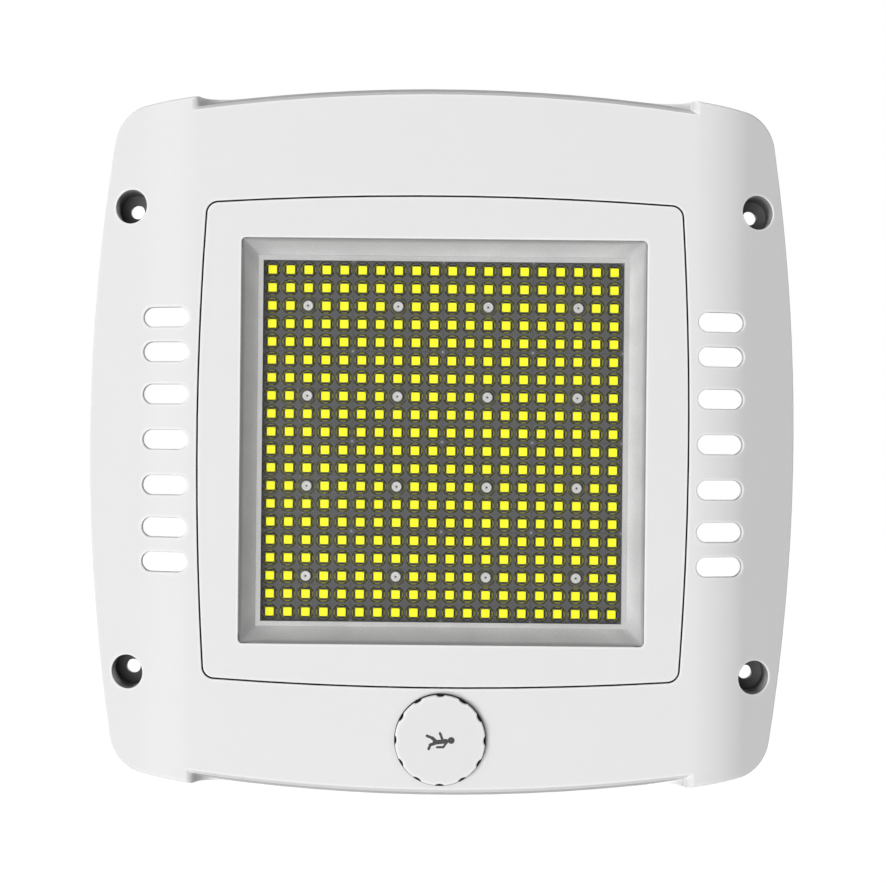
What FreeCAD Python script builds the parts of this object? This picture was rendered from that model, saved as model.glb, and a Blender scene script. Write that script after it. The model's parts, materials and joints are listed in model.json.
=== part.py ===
import FreeCAD, Part
import math
import os
import re

import Sketcher

# LED canopy light, stored upright: the lit face looks along -Y, +Z is the edge away from the sensor cap,
# and the origin lies in the middle of the mounting plane, level with the backs of the four corner bosses.

SIZES = {
    # Front body
    "width": 320.0,
    "height": 320.0,
    "bulge_radius": 800.0,
    "corner_radius": 18.0,
    "face_depth": 37.0,
    "wall": 3.0,
    "wing_kink": 123.6,
    "wing_slope": 33.0,
    "bend_radius": 45.9,
    "edge_round": 1.0,
    # Cove along the two ends of the face
    "cove_half": 109.3,
    "cove_depth": 21.3,
    "cove_corner": 20.0,
    "cove_round": 4.0,
    "cove_reach": 33.0,
    "rim_inset": 6.0,
    "lip_inset": 4.5,
    "lip_drop": 1.8,
    # Mounting holes
    "mount_x": 281.0,
    "mount_z": 208.5,
    "mount_bore": 6.5,
    "counterbore": 15.0,
    "well_round": 0.5,
    "mount_floor": 3.7,
    # Vent slots in the wings
    "slot_x": 123.35,
    "slot_length": 20.7,
    "slot_width": 8.6,
    "slot_inner_z": 20.2,
    "slot_middle_z": 39.0,
    "slot_outer_z": 54.4,
    "slot_round": 0.8,
    # Door frame and the chamber behind it
    "door_size": 217.2,
    "door_bulge": 1530.0,
    "door_corner": 5.0,
    "door_gap": 0.7,
    "door_thickness": 5.0,
    "door_seal": 1.0,
    "door_round": 0.4,
    "ledge_width": 7.5,
    "ledge_thickness": 4.0,
    "chamber_wall": 3.4,
    "window_round": 2.0,
    # Sloped frame round the LED field, with the pane behind it
    "funnel_top": 0.6,
    "funnel_depth": 11.0,
    "funnel_run": 6.4,
    "lip_width": 2.2,
    "lip_cover": 0.5,
    "lip_thickness": 1.5,
    "funnel_edge": 0.3,
    "fit_gap": 0.1,
    "glass_seal": 1.0,
    "glass_thickness": 3.0,
    "glass_margin": 8.0,
    "retainer_grip": 2.7,
    "retainer_thickness": 1.2,
    "frame_margin": 7.0,
    # LED field
    "led_pitch": 8.15,
    "module_side": 5,
    "modules_across": 4,
    "led_size": 4.0,
    "led_height": 0.8,
    "lens_diameter": 7.4,
    "lens_height": 1.5,
    "lens_base": 2.0,
    "lens_gap": 0.5,
    "lens_seam": 0.1,
    "lens_corner": 1.0,
    "lens_pocket": 6.2,
    "lens_pocket_depth": 1.2,
    "board_margin": 4.0,
    "board_thickness": 1.6,
    "pad_thickness": 0.5,
    # Heat sink
    "body_seal": 1.0,
    "sink_base": 6.0,
    "sink_round": 0.8,
    "sink_side": 1.8,
    "sink_end": 11.3,
    "fin_height": 18.0,
    "fin_thickness": 2.0,
    "fin_pitch": 8.0,
    "fin_count": 25,
    "fin_length": 216.0,
    "pillar_inset_x": 10.0,
    "pillar_inset_z": 20.0,
    "pillar_diameter": 13.0,
    "post_diameter": 9.0,
    "post_gap": 0.9,
    "post_outer_x": 95.0,
    "post_inner_x": 40.0,
    # Driver box
    "box_gap": 2.4,
    "box_width": 190.0,
    "box_height": 120.0,
    "box_depth": 34.0,
    "box_wall": 2.5,
    "box_corner": 6.0,
    "box_round": 1.2,
    "box_boss": 10.0,
    "cover_seal": 1.5,
    "cover_thickness": 3.0,
    "driver_end_gap": 24.5,
    "driver_share": 0.45,
    "driver_height": 26.0,
    "driver_ear": 10.0,
    "ear_thickness": 1.5,
    "driver_inset": 15.0,
    "terminal_length": 34.0,
    "terminal_width": 18.0,
    "terminal_height": 15.0,
    "terminal_x": 10.0,
    "terminal_inset": 30.0,
    "terminal_pitch": 10.0,
    "terminal_bore": 5.0,
    "earth_x": -22.0,
    "grommet_x": -52.0,
    "grommet_hole": 12.0,
    "grommet_bore": 7.0,
    "grommet_lip": 2.0,
    "grommet_lip_thickness": 1.5,
    # Supply inlet and breather on the upper wall of the box
    "gland_x": 52.0,
    "gland_thread": 20.0,
    "gland_bore": 13.0,
    "gland_across": 25.0,
    "gland_flange": 6.0,
    "gland_washer": 1.0,
    "gland_neck": 8.0,
    "nut_thickness": 6.0,
    "dome_length": 17.0,
    "dome_mouth": 20.6,
    "seal_bore": 10.0,
    "seal_length": 6.0,
    "breather_x": -40.0,
    "breather_thread": 12.0,
    "breather_across": 18.0,
    "breather_height": 7.0,
    "breather_bore": 4.0,
    "breather_slot": 2.4,
    # Screws: shank diameters, and the head of each as a multiple of its shank
    "small_screw": 3.0,
    "middle_screw": 4.0,
    "large_screw": 5.0,
    "head_ratio": 1.7,
    "head_height_ratio": 0.6,
    "head_top_ratio": 0.8,
    "socket_ratio": 0.5,
    "thread_gap": 0.05,
    "lens_screw_head": 5.0,
    "door_screw_inset": 3.8,
    "door_screw_step": 60.0,
    "window_screw_step": 62.0,
    # Sensor port
    "cap_share": 0.895,
    "cap_thickness": 1.8,
    "cap_crown": 2.2,
    "cap_round": 0.8,
    "cap_skirt": 9.0,
    "skirt_share": 0.05,
    "thread_share": 0.625,
    "cap_thread_gap": 0.3,
    "scallop_share": 0.09,
    "scallop_depth_share": 0.02,
    "scallop_count": 12,
    "cap_seal": 2.4,
    "cap_seal_reach": 0.3,
    "socket_share": 0.06,
    "flange_share": 0.925,
    "socket_flange_thickness": 1.0,
    "socket_depth": 17.0,
    "socket_floor": 2.0,
    "nut_share": 0.9,
    "socket_nut_thickness": 5.0,
    "grip_share": 0.11,
    "grip_depth_share": 0.06,
    "wire_share": 0.15,
    "sensor_board": 1.6,
    "can_share": 0.3,
    "sensor_can_height": 2.6,
}

doc = FreeCAD.newDocument("canopy_light")
sheet = doc.addObject("Spreadsheet::Sheet", "Sizes")
for row, (alias, number) in enumerate(SIZES.items(), 1):
    sheet.set(f"A{row}", alias.replace("_", " "))
    sheet.set(f"B{row}", str(number))
    sheet.setAlias(f"B{row}", alias)
doc.recompute()

NODES = {}
ALONG_Y = FreeCAD.Rotation(FreeCAD.Vector(1, 0, 0), -90)
ALONG_Z = FreeCAD.Rotation()
TO_FRONT = FreeCAD.Rotation(FreeCAD.Vector(1, 0, 0), 90)
CLEAR = 1.0
NEAR = 1e-4


def resolve(formula):
    # Words that name a cell become references to the sheet
    def refer(found):
        word = found.group()
        return f"Sizes.{word}" if word in SIZES else word

    return re.sub(r"[a-z_]+[a-z]", refer, str(formula))


def size(formula):
    return float(sheet.evalExpression(resolve(formula)))


def bind(obj, prop, formula):
    obj.setExpression(prop, resolve(formula))


def place(obj, x, y, z, rotation=ALONG_Z):
    obj.Placement = FreeCAD.Placement(FreeCAD.Vector(), rotation)
    for axis, formula in zip("xyz", (x, y, z)):
        bind(obj, f"Placement.Base.{axis}", formula)


def node(label, obj):
    obj.Label = label
    NODES[label] = obj
    return obj


# Depths, counted along Y from the mounting plane
FACE = "(-face_depth)"
DOOR_BACK = f"({FACE} + door_thickness)"
LEDGE = f"({DOOR_BACK} + door_seal)"
LEDGE_BACK = f"({LEDGE} + ledge_thickness)"
LIP = f"({FACE} + funnel_depth)"
LIP_BACK = f"({LIP} + lip_thickness)"
GLASS = f"({LIP_BACK} + glass_seal)"
GLASS_BACK = f"({GLASS} + glass_thickness)"
RETAINER_BACK = f"({GLASS_BACK} + retainer_thickness)"
LENS_PLATE = f"({GLASS_BACK} + lens_gap + lens_height)"
BOARD = f"({LENS_PLATE} + lens_base)"
PAD = f"({BOARD} + board_thickness)"
SINK = f"({PAD} + pad_thickness)"
CHAMBER_END = f"({SINK} - body_seal)"
SINK_BACK = f"({SINK} + sink_base)"
FIN_END = f"({SINK_BACK} + fin_height)"
BOX = f"({FIN_END} + box_gap)"
BOX_INSIDE = f"({BOX} + box_wall)"
BOX_RIM = f"({BOX} + box_depth)"
COVER = f"({BOX_RIM} + cover_seal)"
COVER_BACK = f"({COVER} + cover_thickness)"
BOX_MIDDLE = f"({BOX_INSIDE} + (box_depth - box_wall) / 2)"

# Half widths, counted from the middle of the face
FIELD = "(led_pitch * module_side * modules_across / 2)"
LIP_HALF = f"({FIELD} - lip_cover)"
FUNNEL_HALF = f"({LIP_HALF} + lip_width)"
MOUTH_HALF = f"({FUNNEL_HALF} + funnel_run)"
WINDOW = f"({MOUTH_HALF} + funnel_edge + fit_gap)"
GLASS_HALF = f"({LIP_HALF} + glass_margin)"
FRAME_HALF = f"({GLASS_HALF} + frame_margin)"
WINDOW_SCREW = f"({GLASS_HALF} + frame_margin / 2)"
DOOR = "(door_size / 2)"
OPENING = f"({DOOR} + door_gap)"
LEDGE_HALF = f"({OPENING} - ledge_width)"
CHAMBER = f"({OPENING} + chamber_wall)"
DOOR_SCREW = f"({DOOR} - door_screw_inset)"
POST_Z = f"({CHAMBER} + post_gap + post_diameter / 2)"

# The sensor port, sized by the band between the door and the end of the face
BAND_END = "(height / 2 - rim_inset)"
SENSOR_Z = f"(-({OPENING} + {BAND_END}) / 2)"
CAP = f"(({BAND_END} - {OPENING}) * cap_share / 2)"
THREAD = f"({CAP} * thread_share)"
TUBE = f"({THREAD} + 2 * {CAP} * socket_share)"
FLANGE = f"({CAP} * flange_share)"
SOCKET_NUT = f"({CAP} * nut_share)"
WIRE_HOLE = f"({CAP} * wire_share)"


def mirrored(*halves):
    # Every choice of signs of the given half distances
    spots = [()]
    for half in halves:
        spots = [spot + (f"{sign}({half})",) for spot in spots for sign in ("-", "")]
    return spots


def along_sides(steps, distance):
    # Spots on all four sides of a square, at the given steps along each side
    spots = []
    for step in steps:
        for side in (f"-{distance}", distance):
            spots += [(side, step), (step, side)]
    return spots


# Sizes and places of the fasteners and what they hold
HEAD_SMALL = "(small_screw * head_ratio / 2)"
HEAD_MIDDLE = "(middle_screw * head_ratio / 2)"
HOLE_SMALL = "small_screw / 2 + thread_gap"
HOLE_MIDDLE = "middle_screw / 2 + thread_gap"
HOLE_LARGE = "large_screw / 2 + thread_gap"
BOX_THREAD = "(2 * large_screw)"
COVER_THREAD = "(3 * middle_screw)"
SINK_THREAD = "(2 * middle_screw)"
LENS_SCREW_END = f"({SINK_BACK} - small_screw / 2)"
DOME_HOLLOW = "(gland_neck - fit_gap + seal_length)"
SINK_X = f"({CHAMBER} + sink_side)"
SINK_Z = f"({CHAMBER} + sink_end)"
BOSS_X = "(box_width / 2 - box_wall - box_boss / 2)"
BOSS_Z = "(box_height / 2 - box_wall - box_boss / 2)"
DRIVER_HALF = "(box_width / 2 - box_wall - driver_end_gap)"
DRIVER_WIDTH = "(box_height * driver_share)"
DRIVER_Z = f"(driver_inset - box_height / 2 + {DRIVER_WIDTH} / 2)"
TERMINAL_Z = "(box_height / 2 - terminal_inset)"
EAR_X = f"({DRIVER_HALF} + driver_ear / 2)"
MOUNTS = mirrored("mount_x / 2", "mount_z / 2")
POSTS = mirrored("post_outer_x", POST_Z) + mirrored("post_inner_x", POST_Z)
PILLARS = mirrored("box_width / 2 - pillar_inset_x", "box_height / 2 - pillar_inset_z")
BOSSES = mirrored(BOSS_X, BOSS_Z) + [("0", f"-{BOSS_Z}"), ("0", BOSS_Z)]
DRIVER_SCREWS = [(x, f"{DRIVER_Z} {sign} {DRIVER_WIDTH} / 3") for x in (f"-{EAR_X}", EAR_X) for sign in "+-"]
DOOR_SCREWS = along_sides(("-door_screw_step", "0", "door_screw_step"), DOOR_SCREW)
WINDOW_SCREWS = along_sides(("-window_screw_step", "window_screw_step"), WINDOW_SCREW)
SLOT_CELLS = ("slot_inner_z", "slot_middle_z", "slot_outer_z")
SLOT_HEIGHTS = ["0"] + [f"{sign}{cell}" for cell in SLOT_CELLS for sign in ("", "-")]


def block(x0, x1, y0, y1, z0, z1):
    box = doc.addObject("Part::Box", "block")
    for prop, low, high in (("Length", x0, x1), ("Width", y0, y1), ("Height", z0, z1)):
        bind(box, prop, f"({high}) - ({low})")
    place(box, x0, y0, z0)
    return box


def slab(half_x, half_z, y0, y1):
    return block(f"-{half_x}", half_x, y0, y1, f"-{half_z}", half_z)


def rod(radius, x, y, z, length, rotation=ALONG_Y):
    cylinder = doc.addObject("Part::Cylinder", "rod")
    bind(cylinder, "Radius", radius)
    bind(cylinder, "Height", length)
    place(cylinder, x, y, z, rotation)
    return cylinder


def cone(radius, end_radius, x, y, z, length):
    taper = doc.addObject("Part::Cone", "taper")
    bind(taper, "Radius1", radius)
    bind(taper, "Radius2", end_radius)
    bind(taper, "Height", length)
    place(taper, x, y, z, ALONG_Y)
    return taper


def hexagon(across, x, y, z, length, rotation=ALONG_Z):
    prism = doc.addObject("Part::Prism", "hexagon")
    prism.Polygon = 6
    bind(prism, "Circumradius", f"{across} / sqrt(3)")
    bind(prism, "Height", length)
    place(prism, x, y, z, rotation)
    return prism


def cut(base, *tools):
    for tool in tools:
        difference = doc.addObject("Part::Cut", "cut")
        difference.Base = base
        difference.Tool = tool
        base = difference
    return base


def fuse(*pieces):
    union = doc.addObject("Part::MultiFuse", "union")
    union.Shapes = list(pieces)
    union.Refine = True
    return union


def common(base, tool):
    overlap = doc.addObject("Part::Common", "overlap")
    overlap.Base = base
    overlap.Tool = tool
    return overlap


def round_edges(base, radius, chosen):
    # A fillet on every edge of the base that the test picks
    doc.recompute()
    edges = base.Shape.Edges
    picked = [number for number, edge in enumerate(edges, 1) if chosen(edge)]
    fillet = doc.addObject("Part::Fillet", "fillet")
    fillet.Base = base
    fillet.Edges = [(number, size(radius), size(radius)) for number in picked]
    return fillet


def runs_along(axis):
    def chosen(edge):
        if edge.Curve.TypeId != "Part::GeomLine":
            return False
        return abs(abs(edge.Curve.Direction.dot(axis)) - 1) < NEAR
    return chosen


ALONG_DEPTH = runs_along(FreeCAD.Vector(0, 1, 0))
ALONG_HEIGHT = runs_along(FreeCAD.Vector(0, 0, 1))


def in_plane(y):
    level = size(y)
    return lambda edge: abs(edge.BoundBox.YMin - level) < NEAR and abs(edge.BoundBox.YMax - level) < NEAR


def barrel(half_x, half_z, bulge, corner, y0, y1):
    # A square plate with four sides that bow outwards and round corners
    length = f"({y1}) - ({y0})"
    plate = rod(bulge, f"{half_x} - ({bulge})", y0, 0, length)
    for x, z in (
        (f"({bulge}) - {half_x}", 0),
        (0, f"{half_z} - ({bulge})"),
        (0, f"({bulge}) - {half_z}"),
    ):
        plate = common(plate, rod(bulge, x, y0, z, length))
    return round_edges(plate, corner, ALONG_DEPTH)


def new_body(name):
    body = doc.addObject("PartDesign::Body", name)
    planes = {feature.Role: feature for feature in body.Origin.OriginFeatures}
    return body, planes


def outline(body, plane, points):
    # A closed sketch of straight lines, each corner held by two distances from the origin
    sketch = body.newObject("Sketcher::SketchObject", "outline")
    sketch.AttachmentSupport = (plane, [""])
    sketch.MapMode = "FlatFace"
    count = len(points)
    spots = [FreeCAD.Vector(size(x), size(y), 0) for x, y in points]
    for i in range(count):
        sketch.addGeometry(Part.LineSegment(spots[i], spots[(i + 1) % count]), False)
    for i in range(count):
        sketch.addConstraint(Sketcher.Constraint("Coincident", i, 2, (i + 1) % count, 1))
    for i, (x, y) in enumerate(points):
        for kind, formula, axis, spot in (("DistanceX", x, -2, spots[i].x), ("DistanceY", y, -1, spots[i].y)):
            if str(formula) == "0":
                sketch.addConstraint(Sketcher.Constraint("PointOnObject", i, 1, axis))
                continue
            held = sketch.addConstraint(Sketcher.Constraint(kind, -1, 1, i, 1, spot))
            bind(sketch, f"Constraints[{held}]", formula)
    return sketch


def turned(name, points, x=0, y=0, z=0, rotation=TO_FRONT):
    # A solid of revolution: points are radius and height, and the height runs along the rotated Z axis
    body, planes = new_body(name)
    sketch = outline(body, planes["XZ_Plane"], points)
    revolution = body.newObject("PartDesign::Revolution", "revolution")
    revolution.Profile = sketch
    revolution.ReferenceAxis = (sketch, ["V_Axis"])
    revolution.Angle = 360
    place(body, x, y, z, rotation)
    return body


def padded(name, points, length, x=0, y=0, z=0, rotation=ALONG_Z):
    # A prism: the sketch lies in the body's XY plane and rises along its Z axis
    body, planes = new_body(name)
    sketch = outline(body, planes["XY_Plane"], points)
    pad = body.newObject("PartDesign::Pad", "pad")
    pad.Profile = sketch
    bind(pad, "Length", length)
    place(body, x, y, z, rotation)
    return body, pad


def fillet_body(body, feature, radius, chosen):
    doc.recompute()
    edges = feature.Shape.Edges
    picked = [f"Edge{number}" for number, edge in enumerate(edges, 1) if chosen(edge)]
    rounded = body.newObject("PartDesign::Fillet", "fillet")
    rounded.Base = (feature, picked)
    bind(rounded, "Radius", radius)
    body.Tip = rounded
    return rounded


def copies(pattern, spots):
    # Separate solids of one shape, moved from the origin to each spot
    doc.recompute()
    shapes = [pattern.Shape.translated(FreeCAD.Vector(*(size(part) for part in spot))) for spot in spots]
    repeated = doc.addObject("Part::Feature", "copies")
    repeated.Shape = Part.makeCompound(shapes)
    return repeated


def screw(shank, length, rotation, head=None, head_height=None):
    # A pan-head screw with a hexagon socket: its head rests on the origin and its shank points backwards
    head_radius = f"{head or f'{shank} * head_ratio'} / 2"
    rise = head_height or f"{shank} * head_height_ratio"
    points = [
        (0, f"-({length})"),
        (f"{shank} / 2", f"-({length})"),
        (f"{shank} / 2", 0),
        (head_radius, 0),
        (head_radius, f"{rise} / 2"),
        (f"({head_radius}) * head_top_ratio", rise),
        (0, rise),
    ]
    floor = f"{rise} / 3" if rotation == ALONG_Y else f"-({rise}) / 3"
    socket = hexagon(f"{shank} * socket_ratio", 0, floor, 0, rise, rotation)
    return cut(turned("screw", points, rotation=rotation), socket)


def wing_envelope(inset):
    # Everything behind the front skin: a flat middle and two swept wings, bent round a large radius
    reach = "width"
    kink = f"(wing_kink - {inset} * tan(wing_slope / 2))"
    front = f"({FACE} + {inset})"
    drop = f"({front} + ({reach} - {kink}) * tan(wing_slope))"
    points = [
        (f"-{kink}", front),
        (kink, front),
        (reach, drop),
        (reach, "width"),
        (f"-{reach}", "width"),
        (f"-{reach}", drop),
    ]
    body, pad = padded("wing_envelope", points, "2 * height", z="-height")
    bend = size(kink)

    def at_kink(edge):
        return ALONG_HEIGHT(edge) and abs(abs(edge.BoundBox.XMax) - bend) < NEAR

    fillet_body(body, pad, f"bend_radius - {inset}", at_kink)
    return body


def cove_tool(side):
    # What is taken off one end of the face, leaving a flared wall with a bevelled lip
    centre = f"{side}(height / 2 - bulge_radius)"
    low = f"{side}(height / 2 - cove_reach)"
    high = f"{side}(height / 2 + rim_inset)"
    bottom, top = (low, high) if side == "" else (high, low)
    mouth = f"({FACE} - {CLEAR})"
    floor = f"({FACE} + cove_depth)"
    notch = block("-cove_half", "cove_half", mouth, floor, bottom, top)
    floor_level = size(floor)
    notch = round_edges(
        notch,
        "cove_corner",
        lambda edge: ALONG_HEIGHT(edge) and abs(edge.BoundBox.YMax - floor_level) < NEAR,
    )
    wedges = []
    for hand in ("-", ""):
        inner = f"{hand}(cove_half - cove_round)"
        outer = f"{hand}(cove_half + cove_round)"
        left, right = (outer, inner) if hand == "-" else (inner, outer)
        corner = block(left, right, mouth, f"{FACE} + cove_round", bottom, top)
        shoulder = rod("cove_round", outer, f"{FACE} + cove_round", bottom, f"({top}) - ({bottom})", ALONG_Z)
        wedges.append(cut(corner, shoulder))
    rim = "bulge_radius - rim_inset"
    edge = "bulge_radius - lip_inset"
    cap = rod(rim, 0, mouth, centre, str(CLEAR))
    lip = cone(rim, edge, 0, FACE, centre, "lip_drop")
    flare = cone(edge, "bulge_radius", 0, f"{FACE} + lip_drop", centre, "cove_depth - lip_drop")
    return cut(fuse(notch, *wedges), cap, lip, flare)


def cavity_bar(side):
    # Metal kept behind the cove, so that its wall has one thickness
    centre = f"{side}(height / 2 - bulge_radius)"
    low = f"{side}(height / 2 - cove_reach)"
    high = f"{side}(height / 2 + rim_inset)"
    bottom, top = (low, high) if side == "" else (high, low)
    reach = "(cove_half + wall)"
    floor = f"({FACE} + cove_depth + wall)"
    bar = block(f"-{reach}", reach, FACE, floor, bottom, top)
    inside = rod("bulge_radius - rim_inset - wall", 0, FACE, centre, f"{floor} - {FACE}")
    return cut(bar, inside)


def on_front_rim(edge):
    # The loop where the front skin meets the outer wall
    return not ALONG_DEPTH(edge) and not ALONG_HEIGHT(edge) and edge.BoundBox.YMin < -size("wall")


def skin(x):
    # Depth of the front skin at a distance from the middle
    slope = math.radians(size("wing_slope"))
    bend = size("bend_radius")
    flat = size("wing_kink") - bend * math.tan(slope / 2)
    run = abs(x) - flat
    if run <= 0:
        return size(FACE)
    if run < bend * math.sin(slope):
        return size(FACE) + bend - math.sqrt(bend ** 2 - run ** 2)
    return size(FACE) + (abs(x) - size("wing_kink")) * math.tan(slope)


def on_door_rim(edge):
    # The front edges of the opening that takes the door frame
    box = edge.BoundBox
    reach = size(OPENING) + size("door_gap")
    sides = (box.XMin, box.XMax, box.ZMin, box.ZMax)
    return in_plane(FACE)(edge) and max(abs(side) for side in sides) < reach


def on_slot_rim(edge):
    # The front edges of the vent slots
    box = edge.BoundBox
    inner = size("slot_x - slot_length / 2 - slot_round")
    outer = size("slot_x + slot_length / 2 + slot_round")
    reach = size("slot_outer_z + slot_width")
    if abs(box.Center.x) < inner or abs(box.Center.x) > outer or abs(box.Center.z) > reach:
        return False
    if box.XLength + box.ZLength < size("slot_round"):
        return False
    middle = edge.valueAt((edge.FirstParameter + edge.LastParameter) / 2)
    return abs(middle.y - skin(middle.x)) < size("wall / 4")


def on_well_rim(edge):
    # The mouths of the counterbores, where they meet the front skin
    box = edge.BoundBox
    reach = size("counterbore / 2") + NEAR
    aside = max(abs(abs(side) - size("mount_x / 2")) for side in (box.XMin, box.XMax))
    above = max(abs(abs(side) - size("mount_z / 2")) for side in (box.ZMin, box.ZMax))
    middle = edge.valueAt((edge.FirstParameter + edge.LastParameter) / 2)
    return aside < reach and above < reach and abs(middle.y - skin(middle.x)) < NEAR


def slot_tool(x, z):
    radius = "(slot_width / 2)"
    start = f"({FACE} - {CLEAR})"
    length = "face_depth"
    run = "(slot_length / 2 - slot_width / 2)"
    middle = block(
        f"({x}) - {run}", f"({x}) + {run}",
        start, f"{start} + {length}",
        f"{z} - {radius}", f"{z} + {radius}",
    )
    ends = [rod(radius, f"({x}) {sign} {run}", start, z, length) for sign in "+-"]
    return fuse(middle, *ends)


def front_housing():
    plan = barrel("width / 2", "height / 2", "bulge_radius", "corner_radius", FACE, "0")
    outer = common(plan, wing_envelope("0"))
    outer = round_edges(outer, "edge_round", on_front_rim)
    for side in ("", "-"):
        outer = cut(outer, cove_tool(side))
    inside = barrel(
        "(width / 2 - wall)", "(height / 2 - wall)",
        "bulge_radius - wall", "corner_radius - wall", FACE, str(CLEAR),
    )
    cavity = common(inside, wing_envelope("wall"))
    for side in ("", "-"):
        cavity = cut(cavity, cavity_bar(side))
    shell = cut(outer, cavity)

    start = f"({FACE} + wall / 2)"
    corner = "door_corner + door_gap"
    chamber = barrel(CHAMBER, CHAMBER, "door_bulge", f"{corner} + chamber_wall", start, CHAMBER_END)
    posts = [rod("post_diameter / 2", x, start, z, f"{CHAMBER_END} - {start}") for x, z in POSTS]
    bosses = [common(rod("counterbore / 2 + wall", x, FACE, z, "face_depth"), outer) for x, z in MOUNTS]
    shell = fuse(shell, chamber, *posts, *bosses)

    mouth = f"({FACE} - {CLEAR})"
    past = f"({CHAMBER_END} + {CLEAR})"
    recess = barrel(OPENING, OPENING, "door_bulge", corner, mouth, LEDGE)
    throat = barrel(LEDGE_HALF, LEDGE_HALF, "door_bulge", corner, FACE, past)
    pocket = barrel(OPENING, OPENING, "door_bulge", corner, LEDGE_BACK, past)
    tools = [recess, throat, pocket]
    for x, z in MOUNTS:
        tools.append(rod("counterbore / 2", x, mouth, z, f"face_depth + {CLEAR} - mount_floor"))
        tools.append(rod("mount_bore / 2", x, FACE, z, f"face_depth + {CLEAR}"))
    for x in ("-slot_x", "slot_x"):
        tools += [slot_tool(x, z) for z in SLOT_HEIGHTS]
    depth = f"{CHAMBER_END} - {LEDGE} + {CLEAR}"
    tools += [rod(HOLE_MIDDLE, x, LEDGE, z, depth) for x, z in POSTS]
    tools += [rod(HOLE_SMALL, x, LEDGE, z, f"ledge_thickness + {CLEAR}") for x, z in DOOR_SCREWS]
    tools.append(rod(f"{TUBE} + fit_gap", 0, mouth, SENSOR_Z, f"wall + 2 * {CLEAR}"))
    tools.append(rod(f"{FLANGE} + fit_gap", 0, mouth, SENSOR_Z, f"socket_flange_thickness + {CLEAR}"))
    housing = round_edges(cut(shell, fuse(*tools)), "slot_round", on_slot_rim)
    housing = round_edges(housing, "well_round", on_well_rim)
    node("front_housing", round_edges(housing, "door_round", on_door_rim))


def door_parts():
    plate = barrel(DOOR, DOOR, "door_bulge", "door_corner", FACE, DOOR_BACK)
    window = slab(WINDOW, WINDOW, f"{FACE} - {CLEAR}", f"{DOOR_BACK} + {CLEAR}")
    window = round_edges(window, "window_round", ALONG_DEPTH)
    blind = f"({FACE} + door_thickness / 2)"
    holes = [rod(HOLE_SMALL, x, blind, z, "door_thickness") for x, z in DOOR_SCREWS + WINDOW_SCREWS]
    frame = cut(plate, window, fuse(*holes))
    node("door_frame", round_edges(frame, "door_round", in_plane(FACE)))

    ring = barrel(DOOR, DOOR, "door_bulge", "door_corner", DOOR_BACK, LEDGE)
    start = f"({DOOR_BACK} - {CLEAR})"
    inside = barrel(LEDGE_HALF, LEDGE_HALF, "door_bulge", "door_corner", start, f"{LEDGE} + {CLEAR}")
    holes = [rod(HOLE_SMALL, x, DOOR_BACK, z, "door_seal") for x, z in DOOR_SCREWS]
    node("door_gasket", cut(ring, inside, fuse(*holes)))

    shank = f"{LEDGE_BACK} - {blind} - thread_gap"
    fastener = screw("small_screw", shank, ALONG_Y)
    node("door_screws", copies(fastener, [(x, LEDGE_BACK, z) for x, z in DOOR_SCREWS]))


def frustum(half, end_half, y0, y1):
    wedge = doc.addObject("Part::Wedge", "frustum")
    for prop, formula in (
        ("Xmin", f"-{half}"), ("Xmax", half), ("Zmin", f"-{half}"), ("Zmax", half),
        ("X2min", f"-{end_half}"), ("X2max", end_half), ("Z2min", f"-{end_half}"), ("Z2max", end_half),
        ("Ymin", y0), ("Ymax", y1),
    ):
        bind(wedge, prop, formula)
    return wedge


def window_parts():
    neck = slab(f"({WINDOW} - fit_gap)", f"({WINDOW} - fit_gap)", f"{FACE} + funnel_top", DOOR_BACK)
    neck = round_edges(neck, "window_round", ALONG_DEPTH)
    flange = slab(FRAME_HALF, FRAME_HALF, DOOR_BACK, LIP_BACK)
    boss = "frame_margin / 2 - fit_gap"
    bosses = [rod(boss, x, LIP_BACK, z, f"{GLASS_BACK} - {LIP_BACK}") for x, z in WINDOW_SCREWS]
    funnel = frustum(MOUTH_HALF, FUNNEL_HALF, f"{FACE} + funnel_top", LIP)
    throat = slab(LIP_HALF, LIP_HALF, FACE, f"{LIP_BACK} + {CLEAR}")
    holes = [rod(HOLE_SMALL, x, DOOR_BACK, z, f"{GLASS_BACK} - {DOOR_BACK}") for x, z in WINDOW_SCREWS]
    node("reflector_frame", cut(fuse(neck, flange, *bosses), funnel, throat, fuse(*holes)))

    seal = slab(GLASS_HALF, GLASS_HALF, LIP_BACK, GLASS)
    inside = slab(FUNNEL_HALF, FUNNEL_HALF, f"{LIP_BACK} - {CLEAR}", f"{GLASS} + {CLEAR}")
    node("glass_gasket", cut(seal, inside))

    turns = (("-", "-"), ("", "-"), ("", ""), ("-", ""))
    corners = [(f"{x}{GLASS_HALF}", f"{z}{GLASS_HALF}") for x, z in turns]
    pane, pad = padded("glass_pane", corners, "glass_thickness", y=GLASS_BACK, rotation=TO_FRONT)
    fillet_body(pane, pad, "window_round", ALONG_HEIGHT)
    node("glass_pane", pane)

    ring = slab(FRAME_HALF, FRAME_HALF, GLASS_BACK, RETAINER_BACK)
    inner = f"({GLASS_HALF} - retainer_grip)"
    opening = slab(inner, inner, f"{GLASS_BACK} - {CLEAR}", f"{RETAINER_BACK} + {CLEAR}")
    holes = [rod(HOLE_SMALL, x, GLASS_BACK, z, "retainer_thickness") for x, z in WINDOW_SCREWS]
    node("glass_retainer", cut(ring, opening, fuse(*holes)))

    shank = f"{RETAINER_BACK} - ({FACE} + door_thickness / 2) - thread_gap"
    fastener = screw("small_screw", shank, ALONG_Y)
    node("window_screws", copies(fastener, [(x, RETAINER_BACK, z) for x, z in WINDOW_SCREWS]))


def grid(count, pitch):
    # Distances from the middle of an even row
    return [(i - (count - 1) / 2) * pitch for i in range(count)]


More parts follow.
